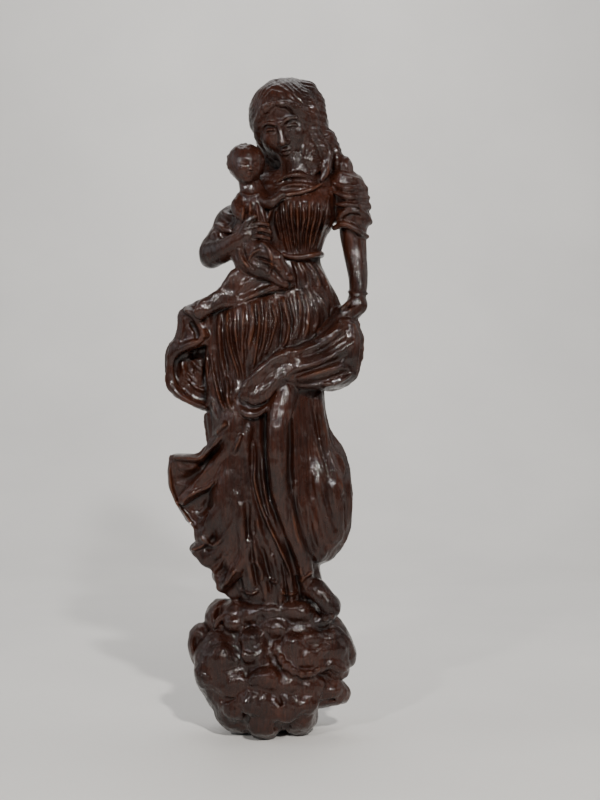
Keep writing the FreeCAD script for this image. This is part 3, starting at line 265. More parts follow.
        (329, -0.8, -2.3, (46.8, 47.1, 48.3, 49, 45, 41.5, 37, 34.4, 31.8, 29.5, 29.1, 27.8, 26.7, 27.5, 28.1, 27.8, 27.3, 28.4, 30.9, 35.4, 46.9, 48.7, 46.6, 45.5, 45.1, 45.5, 46.6, 48.8, 49.8, 43.9, 37.8, 33.7, 31.5, 30.1, 27.5, 25.2, 24.5, 24.8, 25.5, 26.6, 28.3, 31.1, 35, 38.5, 42.1, 46.3, 48, 47.1)),
        (338, 3.1, -3.2, (42.8, 43.1, 44.2, 43.9, 40.7, 38.4, 35.5, 32.9, 31.6, 29.6, 28.4, 28.4, 27.3, 27, 27.8, 28.6, 28.1, 28.4, 30.5, 39.5, 43.7, 43.1, 42.6, 40.7, 40.3, 40.8, 41.3, 42.1, 43.5, 41.5, 36.7, 33.4, 30.1, 27.6, 26.3, 26.2, 28.1, 31.2, 34, 33.5, 30, 28.8, 29.7, 32.3, 35.6, 39.5, 42.9, 43)),
    ],
    "child_head": [
        (401, -9.5, -19.8, (12.3, 12.5, 13, 13.7, 13.5, 13.2, 13, 13, 13, 13, 13.2, 13.3, 13.5, 14, 13.7, 12.5, 12.5, 13, 13.7, 14.5, 15.3, 16.5, 17.5, 17.2, 14.2, 10.8, 10, 9.5, 9.2, 9, 8.8, 8.8, 9.6, 13.6, 19.3, 17.5, 15.3, 14, 13, 12.5)),
        (403.4, -9.6, -18.9, (12.5, 12.7, 13, 13, 12.8, 12.5, 12, 11.8, 11.8, 11.7, 11.8, 12, 12, 12.5, 12, 11, 11.5, 12.3, 13.3, 14.2, 14.8, 15.2, 15.7, 15.4, 13, 11.5, 10.8, 10.3, 10, 9.5, 9.3, 9.3, 10, 12, 14.2, 15, 14.3, 13.7, 13.3, 12.8)),
        (405.9, -9.7, -18.2, (12.5, 12.5, 12.5, 12.3, 12, 11.5, 11.2, 11, 10.8, 10.7, 10.8, 11, 11, 11.2, 10.5, 10, 10.3, 11, 12, 13, 13.7, 14, 14, 13.3, 12.5, 12, 11.5, 10.8, 10, 9.5, 9.5, 9.5, 9.8, 10.3, 11.5, 12.2, 12.3, 12.5, 13, 12.8)),
        (408.3, -10.2, -17.5, (11.9, 12, 11.7, 11.5, 11, 10.7, 10.3, 10, 9.8, 9.7, 9.8, 9.7, 9.7, 9.5, 8.5, 8.5, 9, 9.5, 10.2, 10.8, 11.5, 12, 12, 12, 11.7, 11.3, 10.8, 10.2, 9.8, 9.2, 8.8, 8.7, 8.8, 9, 9.3, 9.7, 10, 10.2, 10.2, 10.3)),
        (410.8, -11, -17.4, (9.5, 11.2, 11.3, 11, 10.8, 10.5, 10, 9.7, 9.5, 9.3, 9.2, 9, 8.7, 7.5, 7.5, 8, 8.3, 8.7, 9.2, 9.8, 10.2, 10.5, 10.7, 10.8, 10.8, 10.7, 10.3, 10, 9.5, 9, 8.5, 8.2, 8, 8, 8, 8.3, 8.7, 9, 9, 9)),
        (413.2, -12.1, -17.7, (8.8, 9, 9.3, 10.9, 10.8, 10.5, 10.2, 9.8, 9.5, 9.2, 8.7, 7.3, 7, 7, 7.2, 7.5, 7.8, 8.3, 8.7, 9, 9.5, 9.8, 10, 10, 10.2, 10.2, 10, 10, 10, 9.5, 8.7, 8, 7.7, 7.5, 7.5, 7.7, 8, 8.2, 8.5, 8.7)),
        (415.7, -13.9, -19.6, (9, 9.5, 9.8, 10, 10, 10, 10, 9.8, 9.5, 8.8, 8.5, 8.3, 8.2, 8.3, 8.2, 8.3, 8.5, 8.5, 8.5, 8.5, 8.7, 8.8, 9, 9, 9.2, 9.3, 9.3, 9.8, 10.5, 10.5, 10.2, 9.5, 8.5, 7.5, 7.2, 7, 7, 7.5, 7.8, 8.5)),
        (418.1, -15, -20.5, (9, 9.5, 10, 10.3, 10.5, 10.5, 10.5, 10.3, 10.2, 10, 9.5, 9.5, 9.5, 9.5, 9.3, 9.3, 9.2, 9, 9, 9, 9.2, 9.3, 9.7, 10, 10, 10.2, 10.2, 10, 10.2, 10.5, 10.5, 10.3, 10, 9.5, 9, 8.7, 8.5, 8.5, 8.5, 8.7)),
        (420.6, -15.8, -20.1, (10.2, 10.3, 10.5, 10.8, 11, 11, 11, 11.2, 11.3, 11.2, 11.3, 11.5, 11.5, 11.2, 11, 11, 11, 10.7, 10.5, 10.5, 10.3, 10.2, 10.3, 10.5, 10.8, 11, 11.3, 11.5, 11.5, 11.5, 11.5, 11.7, 11.5, 11.3, 11.3, 11.2, 11, 10.7, 10.5, 10.3)),
        (423, -16.1, -19.5, (11.5, 11.8, 12.5, 12.5, 12.3, 12.5, 12.7, 12.8, 13, 12.8, 13, 13, 12.8, 12.8, 13, 13, 12.8, 12.7, 12.3, 12, 11.8, 11.5, 11.5, 11.7, 11.8, 12, 12.5, 13, 13, 13, 12.8, 13.3, 13.7, 12.8, 12.7, 12.7, 12.5, 12.2, 11.8, 11.5)),
        (425.5, -16.3, -18.8, (13.2, 13.5, 13.7, 13.5, 13.5, 13.5, 13.5, 13.7, 13.8, 13.8, 13.7, 13.5, 13.5, 13.5, 13.5, 13.5, 13.5, 13.5, 13.3, 13.2, 13, 13.3, 13.7, 13.3, 13, 13, 13.3, 13.7, 14, 14, 13.8, 14, 14.2, 13.5, 13.5, 13.5, 13.5, 13, 13, 13)),
        (427.9, -16.5, -18.3, (14, 14.2, 14.3, 14.2, 14.2, 14.3, 14.2, 14, 14, 14, 14, 14, 13.8, 13.7, 13.8, 14, 14, 14, 14, 14, 13.8, 14, 14.2, 14.2, 13.8, 13.8, 14, 14, 14.2, 14, 13.5, 14, 14.5, 13.8, 13.5, 14, 14, 14, 14, 14)),
        (430.4, -16.4, -18.3, (14.3, 14.2, 14.3, 14.5, 14.5, 14.3, 14.2, 14.3, 14.3, 14.2, 14.3, 14.2, 14.3, 14.2, 14, 14.2, 14.3, 14.5, 14.5, 14.5, 14.3, 14.5, 14.5, 14.5, 14.3, 14.2, 14.3, 14.2, 14.3, 14.2, 14, 14.2, 14.5, 14.3, 14.2, 14.3, 14.2, 14.2, 14.3, 14.2)),
        (432.8, -16.5, -18.3, (14, 14.2, 14.3, 14.2, 14.3, 14.2, 14.3, 14.2, 14, 14, 14, 14.2, 14.3, 14.2, 14, 14, 14, 14.2, 14.3, 14.2, 14.3, 14.3, 14.2, 14.3, 14.2, 14, 14, 14, 14, 14, 14.2, 14.3, 14.2, 14.3, 14.2, 14, 14, 14, 14.2, 14.2)),
        (435.3, -16.5, -18.1, (13.5, 13.5, 13.5, 13.5, 13.5, 13.5, 13.5, 13.3, 13.2, 13.2, 13.3, 13.5, 13.5, 13.5, 13.5, 13.5, 13.3, 13.5, 13.7, 13.8, 14, 14, 13.8, 13.8, 13.7, 13.5, 13.5, 13.5, 13.5, 13.5, 13.5, 13.7, 13.7, 13.5, 13.5, 13.7, 13.5, 13.5, 13.5, 13.7)),
        (437.7, -16.6, -18.2, (12.5, 12.5, 12.5, 12.5, 12.5, 12.5, 12.5, 12.3, 12.2, 12.3, 12.2, 12.3, 12.5, 12.3, 12.2, 12.2, 12.3, 12.5, 12.5, 12.3, 12.3, 12.5, 12.5, 12.5, 12.5, 12.5, 12.3, 12.2, 12.3, 12.2, 12.3, 12.3, 12.2, 12.3, 12.2, 12.3, 12.5, 12.5, 12.5, 12.5)),
        (440.2, -16.5, -18, (10.7, 10.5, 10.7, 10.7, 10.5, 10.5, 10.7, 10.5, 10.5, 10.3, 10.2, 10.3, 10.5, 10.5, 10.5, 10.5, 10.7, 10.8, 10.7, 10.5, 10.5, 10.7, 10.5, 10.5, 10.7, 10.8, 11, 10.8, 10.7, 10.5, 10.5, 10.5, 10.7, 10.7, 10.5, 10.5, 10.3, 10.5, 10.7, 10.8)),
        (442.6, -16.6, -18.1, (7.5, 7.5, 7.5, 7.7, 7.8, 7.8, 7.7, 7.5, 7.5, 7.3, 7, 7, 7.2, 7.5, 7.5, 7.5, 7.7, 7.8, 7.7, 7.8, 7.7, 7.7, 7.8, 7.7, 7.8, 7.7, 7.8, 7.7, 7.5, 7.5, 7.5, 7.8, 8.2, 8.2, 8, 7.7, 7.5, 7.5, 7.5, 7.7)),
    ],
    "forearm_right": [
        (358, -11.6, -25.9, (11.2, 14.2, 18.4, 13.3, 11.3, 10.7, 11.3, 13.2, 18.7, 31.2, 15.3, 12.7, 11.8, 10, 9.8, 12.2, 13.4, 22.6, 25.2, 21.4)),
        (364.2, -14.6, -25.6, (16.6, 18.2, 17.9, 13, 11, 10.5, 11, 13, 18.1, 28.5, 23, 15.5, 11.6, 10.7, 9.8, 11.5, 14.5, 20.2, 23.9, 21.2)),
        (370.3, -16.4, -24.4, (17.4, 26.2, 15.9, 11.5, 9.8, 9.2, 9.8, 11.5, 15.9, 26.5, 20.6, 16.3, 14, 12.7, 12, 12, 13.8, 17.3, 21.4, 16.3)),
        (376.5, -11.3, -24.5, (14.1, 21, 16.1, 11.8, 10, 9.5, 10, 11.8, 15.9, 16.7, 16, 15, 14.3, 14, 13.3, 12.8, 15, 17.1, 10.4, 11.5)),
        (382.7, -10.4, -23.5, (19.2, 20.1, 14.3, 10.5, 8.8, 8.5, 8.8, 10.5, 14.5, 27, 14.5, 12.4, 11.8, 13.7, 14.7, 13.3, 15.5, 15.9, 9.6, 11.1)),
        (388.8, -9.2, -23, (17.9, 18.9, 13.5, 9.8, 8.3, 8, 8.3, 9.8, 13.5, 16.1, 12.9, 14.7, 16.2, 16, 14.3, 12.7, 8.1, 7.3, 8.5, 11.3)),
        (395, -8.2, -22.8, (17, 17.9, 13.3, 9.5, 8, 7.8, 8, 9.5, 13.2, 15.3, 17, 19.2, 15.7, 9.1, 7, 7.7, 7, 7.4, 15.6, 14.1)),
    ],
    "child_body": [
        (338, 9.6, -31, (6.2, 6.2, 5.7, 5, 4.7, 4.5, 4.5, 4.5, 4.7, 5, 5.5, 6.3, 7.5, 8.2, 6.8, 5.5, 4.8, 4.3, 4, 3.8, 4, 4.3, 5, 5.8, 7, 7.2, 7, 6.3)),
        (344.1, 1.6, -30.1, (13, 11, 9.5, 8.5, 7.8, 7.3, 7.2, 7.3, 7.7, 8.3, 9.5, 12.8, 16.9, 17.9, 14.8, 11.3, 9.3, 8, 7.2, 6.5, 6.5, 6.5, 6.5, 6.7, 7.7, 14.4, 18.8, 16.3)),
        (350.2, -6.6, -27.8, (13.2, 11, 9.7, 7.6, 7.5, 8, 9, 11, 13.5, 16.2, 18.5, 19.7, 20.2, 19.5, 17.4, 13.1, 11.3, 10.7, 9.8, 9, 9.2, 9.5, 10, 10.7, 17.2, 21.5, 23.7, 21.3)),
        (356.3, -11.6, -24.1, (8.9, 9.5, 15, 15.6, 16.2, 16.5, 16.2, 16, 16.2, 15.3, 15.8, 15.6, 16.1, 28, 15.1, 13.6, 13.3, 12.7, 12.7, 11.5, 11.8, 12.8, 13.5, 16.5, 25.3, 28.3, 26.2, 10.3)),
        (362.4, -14.8, -22.8, (17.5, 18.5, 20, 20, 18.7, 16.3, 15, 14.8, 15, 15.5, 16, 23.6, 27.6, 25.8, 24.9, 19.8, 15.3, 12.8, 12.5, 12.2, 11.6, 13.8, 16.8, 21.3, 26.6, 27.7, 24.9, 18.2)),
        (368.5, -17.2, -21.6, (19.1, 21.9, 21.3, 20.4, 17.3, 15, 13.8, 13.5, 13, 12.9, 17.2, 21.8, 25.1, 23.3, 22.7, 19.8, 17.3, 15.8, 15, 14.3, 14, 14.3, 16, 19.1, 23.6, 24.1, 20.1, 18.1)),
        (374.5, -15.3, -20.9, (18.8, 20.4, 19.8, 18.9, 16.5, 14.3, 13, 12.8, 12.7, 13.1, 14.4, 15, 26.8, 25.1, 16.7, 16, 15.5, 15.3, 15.3, 15.5, 16, 16.3, 16.8, 20, 21, 16.2, 16.3, 18)),
        (380.6, -11.6, -20.9, (15.9, 16.7, 16.5, 16.3, 16, 14.3, 13, 12.8, 13, 14.3, 16, 16.7, 17, 17.1, 14.6, 14, 13.5, 13.3, 14, 16, 16.2, 15.6, 17.2, 18.5, 18.1, 13.2, 13.7, 13.8)),
        (386.7, -11.4, -20.3, (15.2, 15.5, 15.3, 15.2, 15, 13.5, 12.5, 12.3, 12.5, 13.5, 14.5, 14.3, 15, 15.2, 12.6, 11.7, 11.5, 12.3, 15.2, 16.9, 17.1, 16.7, 9.6, 11.1, 11.1, 12.2, 13.3, 14.2)),
        (392.8, -11.1, -19.7, (15.5, 15.5, 15.5, 15, 14.7, 13, 12, 11.5, 12, 13, 14, 14, 13.2, 12.3, 11.7, 12.1, 16.6, 18, 17.3, 15.9, 11.1, 10.3, 10.7, 11.3, 11.7, 12.1, 15.1, 15)),
        (398.9, -8.5, -21, (12.8, 13, 13.5, 13.7, 13.8, 14, 13.3, 13, 13.3, 14.3, 15.9, 14.3, 14.5, 15.1, 17, 18.7, 18, 11.4, 9.7, 9, 8.3, 8.2, 8.4, 13.3, 19.9, 21.1, 17, 13.6)),
        (405, -8, -19.6, (11.8, 11.5, 11.5, 11.7, 11.8, 11.8, 11.7, 11.5, 11.8, 12.7, 13, 12.6, 13.8, 15.5, 16, 15.7, 13.8, 12.3, 11, 9.5, 8.8, 8.3, 8.5, 9.8, 11, 11, 11.5, 12)),
    ],
    "sleeve_right": [
        (358.3, -38.3, -10.3, (8.1, 7, 7, 7.5, 8.8, 11, 15, 17.7, 18, 17, 15.3, 13.8, 12.5, 11.5, 10.3, 9.5, 9.5, 10, 11.5, 13.5, 16.1, 21.5, 18, 13.7)),
        (366.7, -32.6, -13.2, (10.3, 8.5, 7.4, 10.5, 15.5, 19.2, 20.8, 22.5, 24.9, 24.7, 23, 20.5, 18, 15, 13.3, 12.5, 12.8, 14, 16.3, 20, 25.2, 34, 21.9, 13.6)),
        (375, -28.2, -8.8, (7.2, 7.9, 15.1, 18.7, 19.3, 21.8, 22.9, 22.5, 28.2, 22.7, 22.4, 21.8, 19.2, 16.1, 14.4, 11.5, 7.2, 6.2, 19.5, 27.6, 31.9, 7.5, 6.9, 7.8)),
        (383.3, -26, -2.7, (15, 17, 18.5, 19.4, 18.1, 19.2, 20.5, 21.7, 20.5, 20.2, 19, 18.2, 17.5, 16.5, 16.5, 16, 15.2, 14.3, 16, 17.5, 11.7, 11.5, 12.5, 13.5)),
        (391.7, -22.6, -0.9, (14.5, 15, 16.8, 19.1, 16.8, 16.5, 17, 18.7, 19.3, 20.9, 19.3, 18.5, 17.7, 16, 14.8, 15, 15, 14.8, 18.2, 21.5, 23.9, 20.5, 15.6, 15)),
        (400, -19.4, 1.7, (11.3, 11.8, 13, 13.7, 12, 10.5, 10.3, 10.5, 11.2, 11.8, 13.2, 14, 14.2, 13.7, 12.2, 10.5, 9.5, 9.3, 9.8, 12.9, 13.3, 13.2, 13, 11.8)),
    ],
    "sleeve_left": [
        (376, 63.7, -0.1, (11.3, 11, 11, 11, 10.8, 10.7, 10.5, 10.2, 10, 9.7, 9.5, 9.2, 9, 9, 8.8, 8.7, 8.7, 8.8, 9, 9, 9.2, 9.5, 10, 10.8, 11.7, 12.2, 12.5, 12.7)),
        (381.9, 60.3, -1.1, (15, 15.2, 15.2, 15, 14.5, 13.5, 12.5, 11.5, 10.3, 9.2, 8.3, 7.5, 6.8, 6.2, 6, 5.7, 6, 12.5, 6.5, 6.5, 7, 8.2, 13.8, 15, 14.7, 13.6, 13.7, 14.3)),
        (387.8, 59.1, -1.3, (19.7, 20, 19.7, 18.5, 17.2, 15.5, 13.8, 12.5, 11.5, 10.4, 10.2, 21.2, 18.9, 17.5, 17, 17.6, 18.3, 7.8, 11.5, 12.3, 12.2, 11.7, 10.3, 11.8, 14.5, 16.2, 17.3, 18.5)),
        (393.7, 58.6, -1, (19, 19, 18.8, 19.3, 20.7, 20.2, 18.5, 17, 15, 14, 14, 20.9, 18.4, 17, 16.5, 17, 18.2, 21.4, 25.8, 13.3, 14.4, 15.3, 15.7, 16.8, 18, 18.7, 18.7, 18.5)),
        (399.6, 58.8, -0.5, (18.3, 19.3, 20.7, 21.2, 20.8, 20, 19, 18.4, 16.1, 15.2, 15.5, 21.2, 18.6, 17.2, 16.8, 17.3, 18.5, 21.7, 26.4, 16.7, 17.4, 18.3, 18.2, 18.5, 18.2, 17.8, 18.3, 19.2)),
        (405.5, 58, -0.6, (18.5, 19, 19.2, 19, 18.7, 18.5, 18, 17.5, 16.2, 15.7, 25, 20.4, 17.5, 16.3, 15.7, 16.3, 17.5, 20.4, 22.8, 13.8, 17.8, 19.3, 19, 18.5, 18, 18, 18.3, 19)),
        (411.5, 57.6, 0.2, (18.5, 19, 20, 20, 19, 17.8, 16.5, 16, 15.4, 15.4, 24.5, 19.9, 17.2, 16, 15.5, 16, 17.3, 19.8, 21.3, 16.5, 17.7, 19.5, 19.2, 18.5, 17.8, 17.7, 17.8, 18.2)),
        (417.4, 56.3, 1, (17.7, 17.5, 17, 16.5, 15.8, 15.2, 14.5, 14.8, 15.4, 15.1, 22.3, 18.4, 15.7, 14.5, 14.3, 14.5, 15.8, 18.1, 16.3, 16.5, 16.3, 16.3, 16.5, 17.2, 17.5, 17.8, 18, 17.8)),
        (423.3, 54.1, 1.4, (16.2, 15.7, 14.8, 14, 13.3, 13.3, 14.5, 15, 12.7, 11.4, 18.8, 15.4, 13.2, 12.3, 12, 12.3, 13.2, 15.4, 18.9, 12.8, 13.2, 15, 15.7, 15.3, 15, 15.5, 15.8, 16.2)),
        (429.2, 51.3, 1.7, (12.2, 11, 10.2, 10.1, 13.7, 15.4, 15.5, 12.3, 8.4, 20.5, 15, 11.7, 10.3, 9.5, 9.3, 9.5, 10.3, 11.8, 14.8, 19.3, 16.4, 11, 12.9, 14, 15, 14.8, 14.2, 13)),
        (435.1, 50.4, 1.8, (11.3, 10.2, 8.1, 9.6, 13.9, 15.2, 15.2, 14.5, 14.5, 18.9, 13.4, 10.5, 9.3, 8.5, 8.3, 8.5, 9.3, 10.5, 13.3, 18.8, 18, 10.5, 11.2, 13, 13.7, 14, 13.5, 12.3)),
        (441, 47.6, 2.5, (4.5, 4.5, 5.4, 10.9, 13.2, 14.2, 14.5, 13.8, 14.4, 12.7, 9.1, 7, 6, 5.7, 5.5, 5.8, 6, 7, 9, 13, 19.4, 10.6, 10.7, 11.5, 11.5, 10.2, 8, 5.3)),
    ],
    "torso": [
        (338, 6.6, -3.2, (42.9, 43.2, 42.5, 40.6, 37.6, 35.7, 33.1, 31.1, 30.2, 28.5, 27.6, 28.1, 27.6, 27.9, 29.6, 29.9, 30.4, 33.1, 42.4, 40.5, 38, 37.1, 36.5, 37, 38, 40.4, 43, 39.4, 35.1, 30.7, 28, 26.9, 27.9, 30.7, 33.1, 32.7, 28.3, 26.6, 27.4, 30, 32.6, 36.4, 39.7, 41.5)),
        (343, 5.1, -4.6, (41.2, 41.9, 41.9, 40.6, 38.1, 36, 33.7, 31.6, 30.8, 28.7, 28, 28, 27.3, 28.1, 29.3, 28.9, 29.4, 31.8, 40.5, 38.7, 36.5, 35.3, 35, 35.3, 36.5, 38.6, 41, 37.3, 32.7, 30.8, 30.3, 31, 31.5, 31.4, 32.3, 36.1, 25.6, 22.9, 24.7, 26.2, 29.9, 33, 36.3, 39.8)),
        (349, 4.7, -5.9, (37.9, 39.2, 39.7, 38.9, 37.2, 35.3, 33.4, 31.4, 30.6, 28.4, 27.7, 27.2, 26.9, 27.7, 27.5, 27.6, 27.9, 29.2, 34.9, 35.1, 34.2, 33.5, 32.8, 33.3, 34.3, 35.8, 37.4, 35.3, 33.7, 33.9, 33.6, 32.8, 32.2, 31.4, 16.5, 15.3, 16.6, 17.9, 19.7, 22.8, 24.5, 28.5, 33.1, 35.7)),
        (355, 6.4, -7.4, (32.4, 34.4, 35.4, 35.5, 34.9, 33.5, 32.2, 30.8, 29.7, 28.1, 27.3, 27, 26.6, 26.9, 26.8, 27, 27, 27, 26.7, 26.2, 25.2, 23.7, 22.1, 23.1, 31.1, 35.2, 36.9, 36.9, 36.8, 32.7, 13.5, 11.5, 11.6, 11.4, 11.6, 12, 12.8, 13.7, 15.4, 18.3, 19.7, 22.8, 27.3, 29.8)),
        (362, 5.7, -6.8, (35.6, 36, 37, 38, 38.4, 37.7, 36, 34, 32.3, 30.8, 29.8, 29.5, 29.5, 29.7, 29.7, 29.5, 28.5, 25.2, 24, 23, 22.3, 20.9, 22.2, 34.9, 37.3, 39.2, 40.7, 38, 35.8, 35.9, 37.4, 34.5, 13, 10.5, 10.8, 11.2, 14.6, 16.3, 17.5, 18, 26.2, 32.1, 34.9, 35.7)),
        (370, 3.6, -6.6, (35.9, 37.9, 38.2, 38, 36.9, 34.3, 32.2, 30.1, 28.5, 27.3, 26, 25.1, 24.7, 23.8, 24, 24, 23.5, 23.2, 22.4, 22.6, 34.1, 32.7, 21.5, 32.5, 35.2, 36.8, 39.7, 40.3, 38.3, 35.6, 34.6, 32.2, 18.3, 12, 11.5, 11.8, 12.5, 14.1, 16.9, 19, 21.3, 24.4, 29.3, 32.6)),
        (378, 5.4, -4.8, (38.5, 39.4, 39.2, 38.4, 36.4, 33.6, 30.9, 27.9, 26.9, 25.9, 25.9, 25, 24.1, 24.2, 23.8, 24, 23.8, 25.4, 37.6, 38.8, 36.8, 35.8, 35.3, 35.8, 36.5, 35.8, 37.1, 38.1, 39, 38.1, 35.8, 25.7, 18.8, 15.9, 17.3, 17.4, 18.3, 20.2, 21.6, 23.9, 28.1, 33.1, 34, 36.6)),
        (386, 10.4, -4.3, (49.9, 49, 39.4, 37.4, 36.5, 34, 31.5, 28.7, 25.8, 25.8, 26.4, 25.3, 24.9, 25.9, 25.8, 26.3, 26.7, 28.5, 38.8, 43.8, 42.1, 40.8, 40.3, 40.7, 40.1, 38.2, 38.6, 40.9, 42.1, 37.9, 24.1, 20.1, 22.5, 22.6, 22.9, 22.3, 22.1, 23.9, 27.9, 32.6, 35.8, 36.9, 37.7, 48.8)),
        (394, 13.5, -3.2, (46.4, 46.9, 47.2, 36.9, 34.7, 32.5, 32.6, 32.5, 31.2, 29.8, 29.2, 28.5, 27.7, 26.8, 26.7, 26.4, 28, 28.7, 32.3, 45, 45.4, 43.7, 43.6, 43.2, 37.5, 40.2, 46.9, 44.5, 35.2, 29.4, 28.5, 24.3, 25.1, 25.3, 24.4, 23.2, 24.4, 27.8, 31.8, 35.4, 37.2, 36.9, 37.1, 45.9)),
        (402, 16.4, -2.3, (43.4, 44.2, 44.3, 35.5, 32.9, 33, 34.5, 34, 32.7, 31.8, 31, 30.5, 30.3, 30.3, 30.5, 29.9, 28, 29.2, 30.7, 32.9, 39.8, 44.6, 42.5, 35.4, 38.4, 45.4, 46.2, 39.7, 35.3, 35, 35.5, 34.7, 29.2, 23, 22.2, 22.6, 24.5, 27.2, 29.2, 31.4, 33.9, 35, 44.2, 44.2)),
        (410, 19.9, 1.4, (40, 40.5, 40.8, 31.5, 29.4, 31.6, 31.5, 30.5, 29.5, 28.5, 28, 27.8, 28, 28.3, 29, 30, 31, 31, 28.7, 30.8, 35.4, 38.8, 40.1, 38.3, 36.7, 44.6, 46.6, 41.2, 26.2, 23.3, 22.6, 21.5, 21.3, 21.3, 21.5, 23.1, 27.9, 26.3, 27.1, 28.9, 32.5, 42.9, 41.9, 40.3)),
        (417, 19.9, 2.4, (40, 40.7, 40.6, 29.5, 30.5, 31.9, 30.5, 29.1, 28, 27, 26.5, 26.5, 26.3, 26.8, 27.8, 29, 30.2, 31.2, 30.3, 27.8, 31.5, 36.6, 38.6, 37.2, 34.2, 46.3, 48.4, 24.9, 21.8, 22, 20.1, 19.6, 19.7, 20.3, 21, 21.5, 22.3, 22.7, 24.1, 27.3, 29, 41.3, 41.9, 40.5)),
        (424, 18.1, 0.8, (41.7, 42.5, 42.1, 32.2, 32.9, 32.8, 31.4, 29.8, 28.5, 27.7, 26.8, 26.5, 26.8, 27.3, 28, 29, 30, 30.7, 30, 26.8, 24.8, 26.4, 26.6, 24.7, 21.5, 17.8, 15.3, 14, 13.5, 13.8, 14.5, 15.3, 16.3, 17.5, 18.7, 19.7, 20.3, 21.3, 22.4, 24.8, 31, 32.4, 42.4, 42.5)),
    ],
    "head": [
        (424, 14.2, 0.8, (35.7, 35.9, 35.9, 33.2, 34.7, 36.4, 36.6, 35.5, 33.8, 32.3, 30.8, 29.5, 28.7, 27.7, 26.8, 26.7, 26.5, 26.5, 26.5, 26.5, 27, 27.3, 27.7, 28, 27.8, 27.4, 26.1, 23.1, 20.9, 21.3, 22.2, 22.9, 22.7, 21.7, 20.5, 18.7, 16.8, 15.2, 13.8, 12.5, 11.8, 11.5, 11.3, 11.3, 11.7, 12.3, 13, 14, 15, 16.3, 17.7, 19.2, 20.5, 21.3, 22.3, 23.3, 24.6, 26.6, 28.1, 34.7, 34.5, 29.7, 35.5, 35.9)),
        (427, 13.6, 0.1, (36.3, 36.6, 36.7, 34.8, 35.7, 36.9, 36.9, 35.7, 33.8, 32.3, 31, 29.8, 28.5, 27.5, 27, 26.8, 26.7, 26.5, 26.5, 26.7, 27, 27.3, 27.5, 27.5, 27.5, 27.2, 25.6, 22.1, 17.3, 16, 16, 16, 15.5, 14.2, 12.8, 11.3, 10, 9.3, 8.8, 8.5, 8.5, 8.7, 9, 9.3, 10, 10.7, 11.5, 12.7, 13.8, 15, 16.5, 17.5, 18.8, 20, 21, 22.5, 23.8, 25.7, 28.7, 35.3, 36.3, 34.6, 36.7, 36.6)),
        (430, 14, -0.4, (36, 36, 36.6, 37.3, 36, 36.4, 36.2, 35.2, 33.5, 32.2, 31, 29.5, 28.5, 27.7, 27, 26.7, 26.5, 26.5, 26.5, 26.5, 26.8, 27.3, 27.7, 27.8, 27.9, 27.5, 26.4, 23.9, 18, 6.3, 4.9, 5.1, 5, 5.3, 5.5, 5.5, 5.8, 6.2, 6.5, 6.8, 7.3, 8, 8.5, 9.3, 10.2, 11.3, 12.2, 13.3, 14.2, 15.3, 16.5, 17.5, 18.5, 19.5, 20.8, 22.5, 24.6, 26.9, 28.5, 33.1, 36.2, 35.7, 36.4, 36.1)),
        (433, 14.3, -0.7, (35.5, 35.8, 36.3, 37.3, 38.2, 36.4, 35.5, 34.5, 33, 31.8, 30.5, 29.3, 28.4, 27.3, 26.8, 26.5, 26.3, 26.3, 26.2, 26.3, 26.5, 27, 27.5, 28, 28.2, 28.2, 26.9, 25.1, 20.6, 6.4, 4.8, 5.1, 5, 5.3, 5.5, 5.8, 6.2, 6.5, 7, 7.8, 8.5, 9.3, 10, 11, 11.7, 12.5, 13.2, 14, 15, 15.8, 16.5, 17.5, 18.3, 19.5, 20.8, 22.6, 24.9, 26.8, 27.9, 29.5, 35.6, 35.9, 36.1, 35.8)),
        (436, 14.9, -0.5, (35, 35.3, 35.7, 36.6, 37.6, 35.2, 34, 33, 31.7, 30.5, 29.5, 28.3, 27.5, 26.8, 26, 25.8, 25.7, 25.5, 25.5, 25.5, 26, 26.5, 27, 27.7, 28.2, 28.4, 27.7, 26.4, 23.9, 18.3, 9.2, 7.7, 7.8, 8, 8.3, 8.5, 9, 9.3, 9.7, 10.3, 11, 11.8, 12.7, 13.5, 14, 14.7, 15.5, 16.2, 16.7, 17, 17.5, 18, 18.8, 20, 21.3, 22.8, 24.9, 26, 27.6, 32.8, 35.7, 35.2, 35.6, 35.3)),
        (439, 16.2, -0.1, (33.8, 34, 34.5, 35.3, 36.3, 34.5, 32.3, 31.2, 30.3, 29.2, 28, 27.2, 26.5, 26, 25.3, 25, 25.2, 25.3, 25.2, 25.3, 25.5, 26, 26.7, 27.5, 28.2, 28.7, 29, 28.4, 26.7, 23.7, 19.4, 14.8, 14, 14.3, 14.5, 15, 15.2, 15.5, 15.7, 15.8, 16.2, 16.5, 17, 17.3, 17.8, 18.5, 18.7, 18.7, 18.5, 18.5, 18.3, 18.5, 19.5, 20.7, 22, 23.7, 25.2, 26.5, 28.7, 33.2, 34.1, 33, 34.3, 34)),
        (442, 18.2, 1.2, (31.7, 31.8, 32.3, 33.1, 34, 32.4, 29.9, 28.5, 27.5, 26.7, 25.8, 25.3, 25, 24.7, 24.5, 24.5, 24.6, 25.2, 25.5, 25.7, 25.5, 25.7, 26.1, 27, 27.8, 28.5, 29.5, 30.1, 29.5, 28.2, 25.7, 23, 20.5, 18.9, 19.3, 20, 20.8, 21.7, 22.4, 22.5, 22.2, 21.8, 21.5, 21.3, 21.2, 21.3, 21.2, 20.8, 20.3, 19.7, 19.3, 20, 21.2, 22.3, 24, 25.2, 26.4, 29.4, 31.7, 32.1, 30.8, 32.1, 32.2, 31.8)),
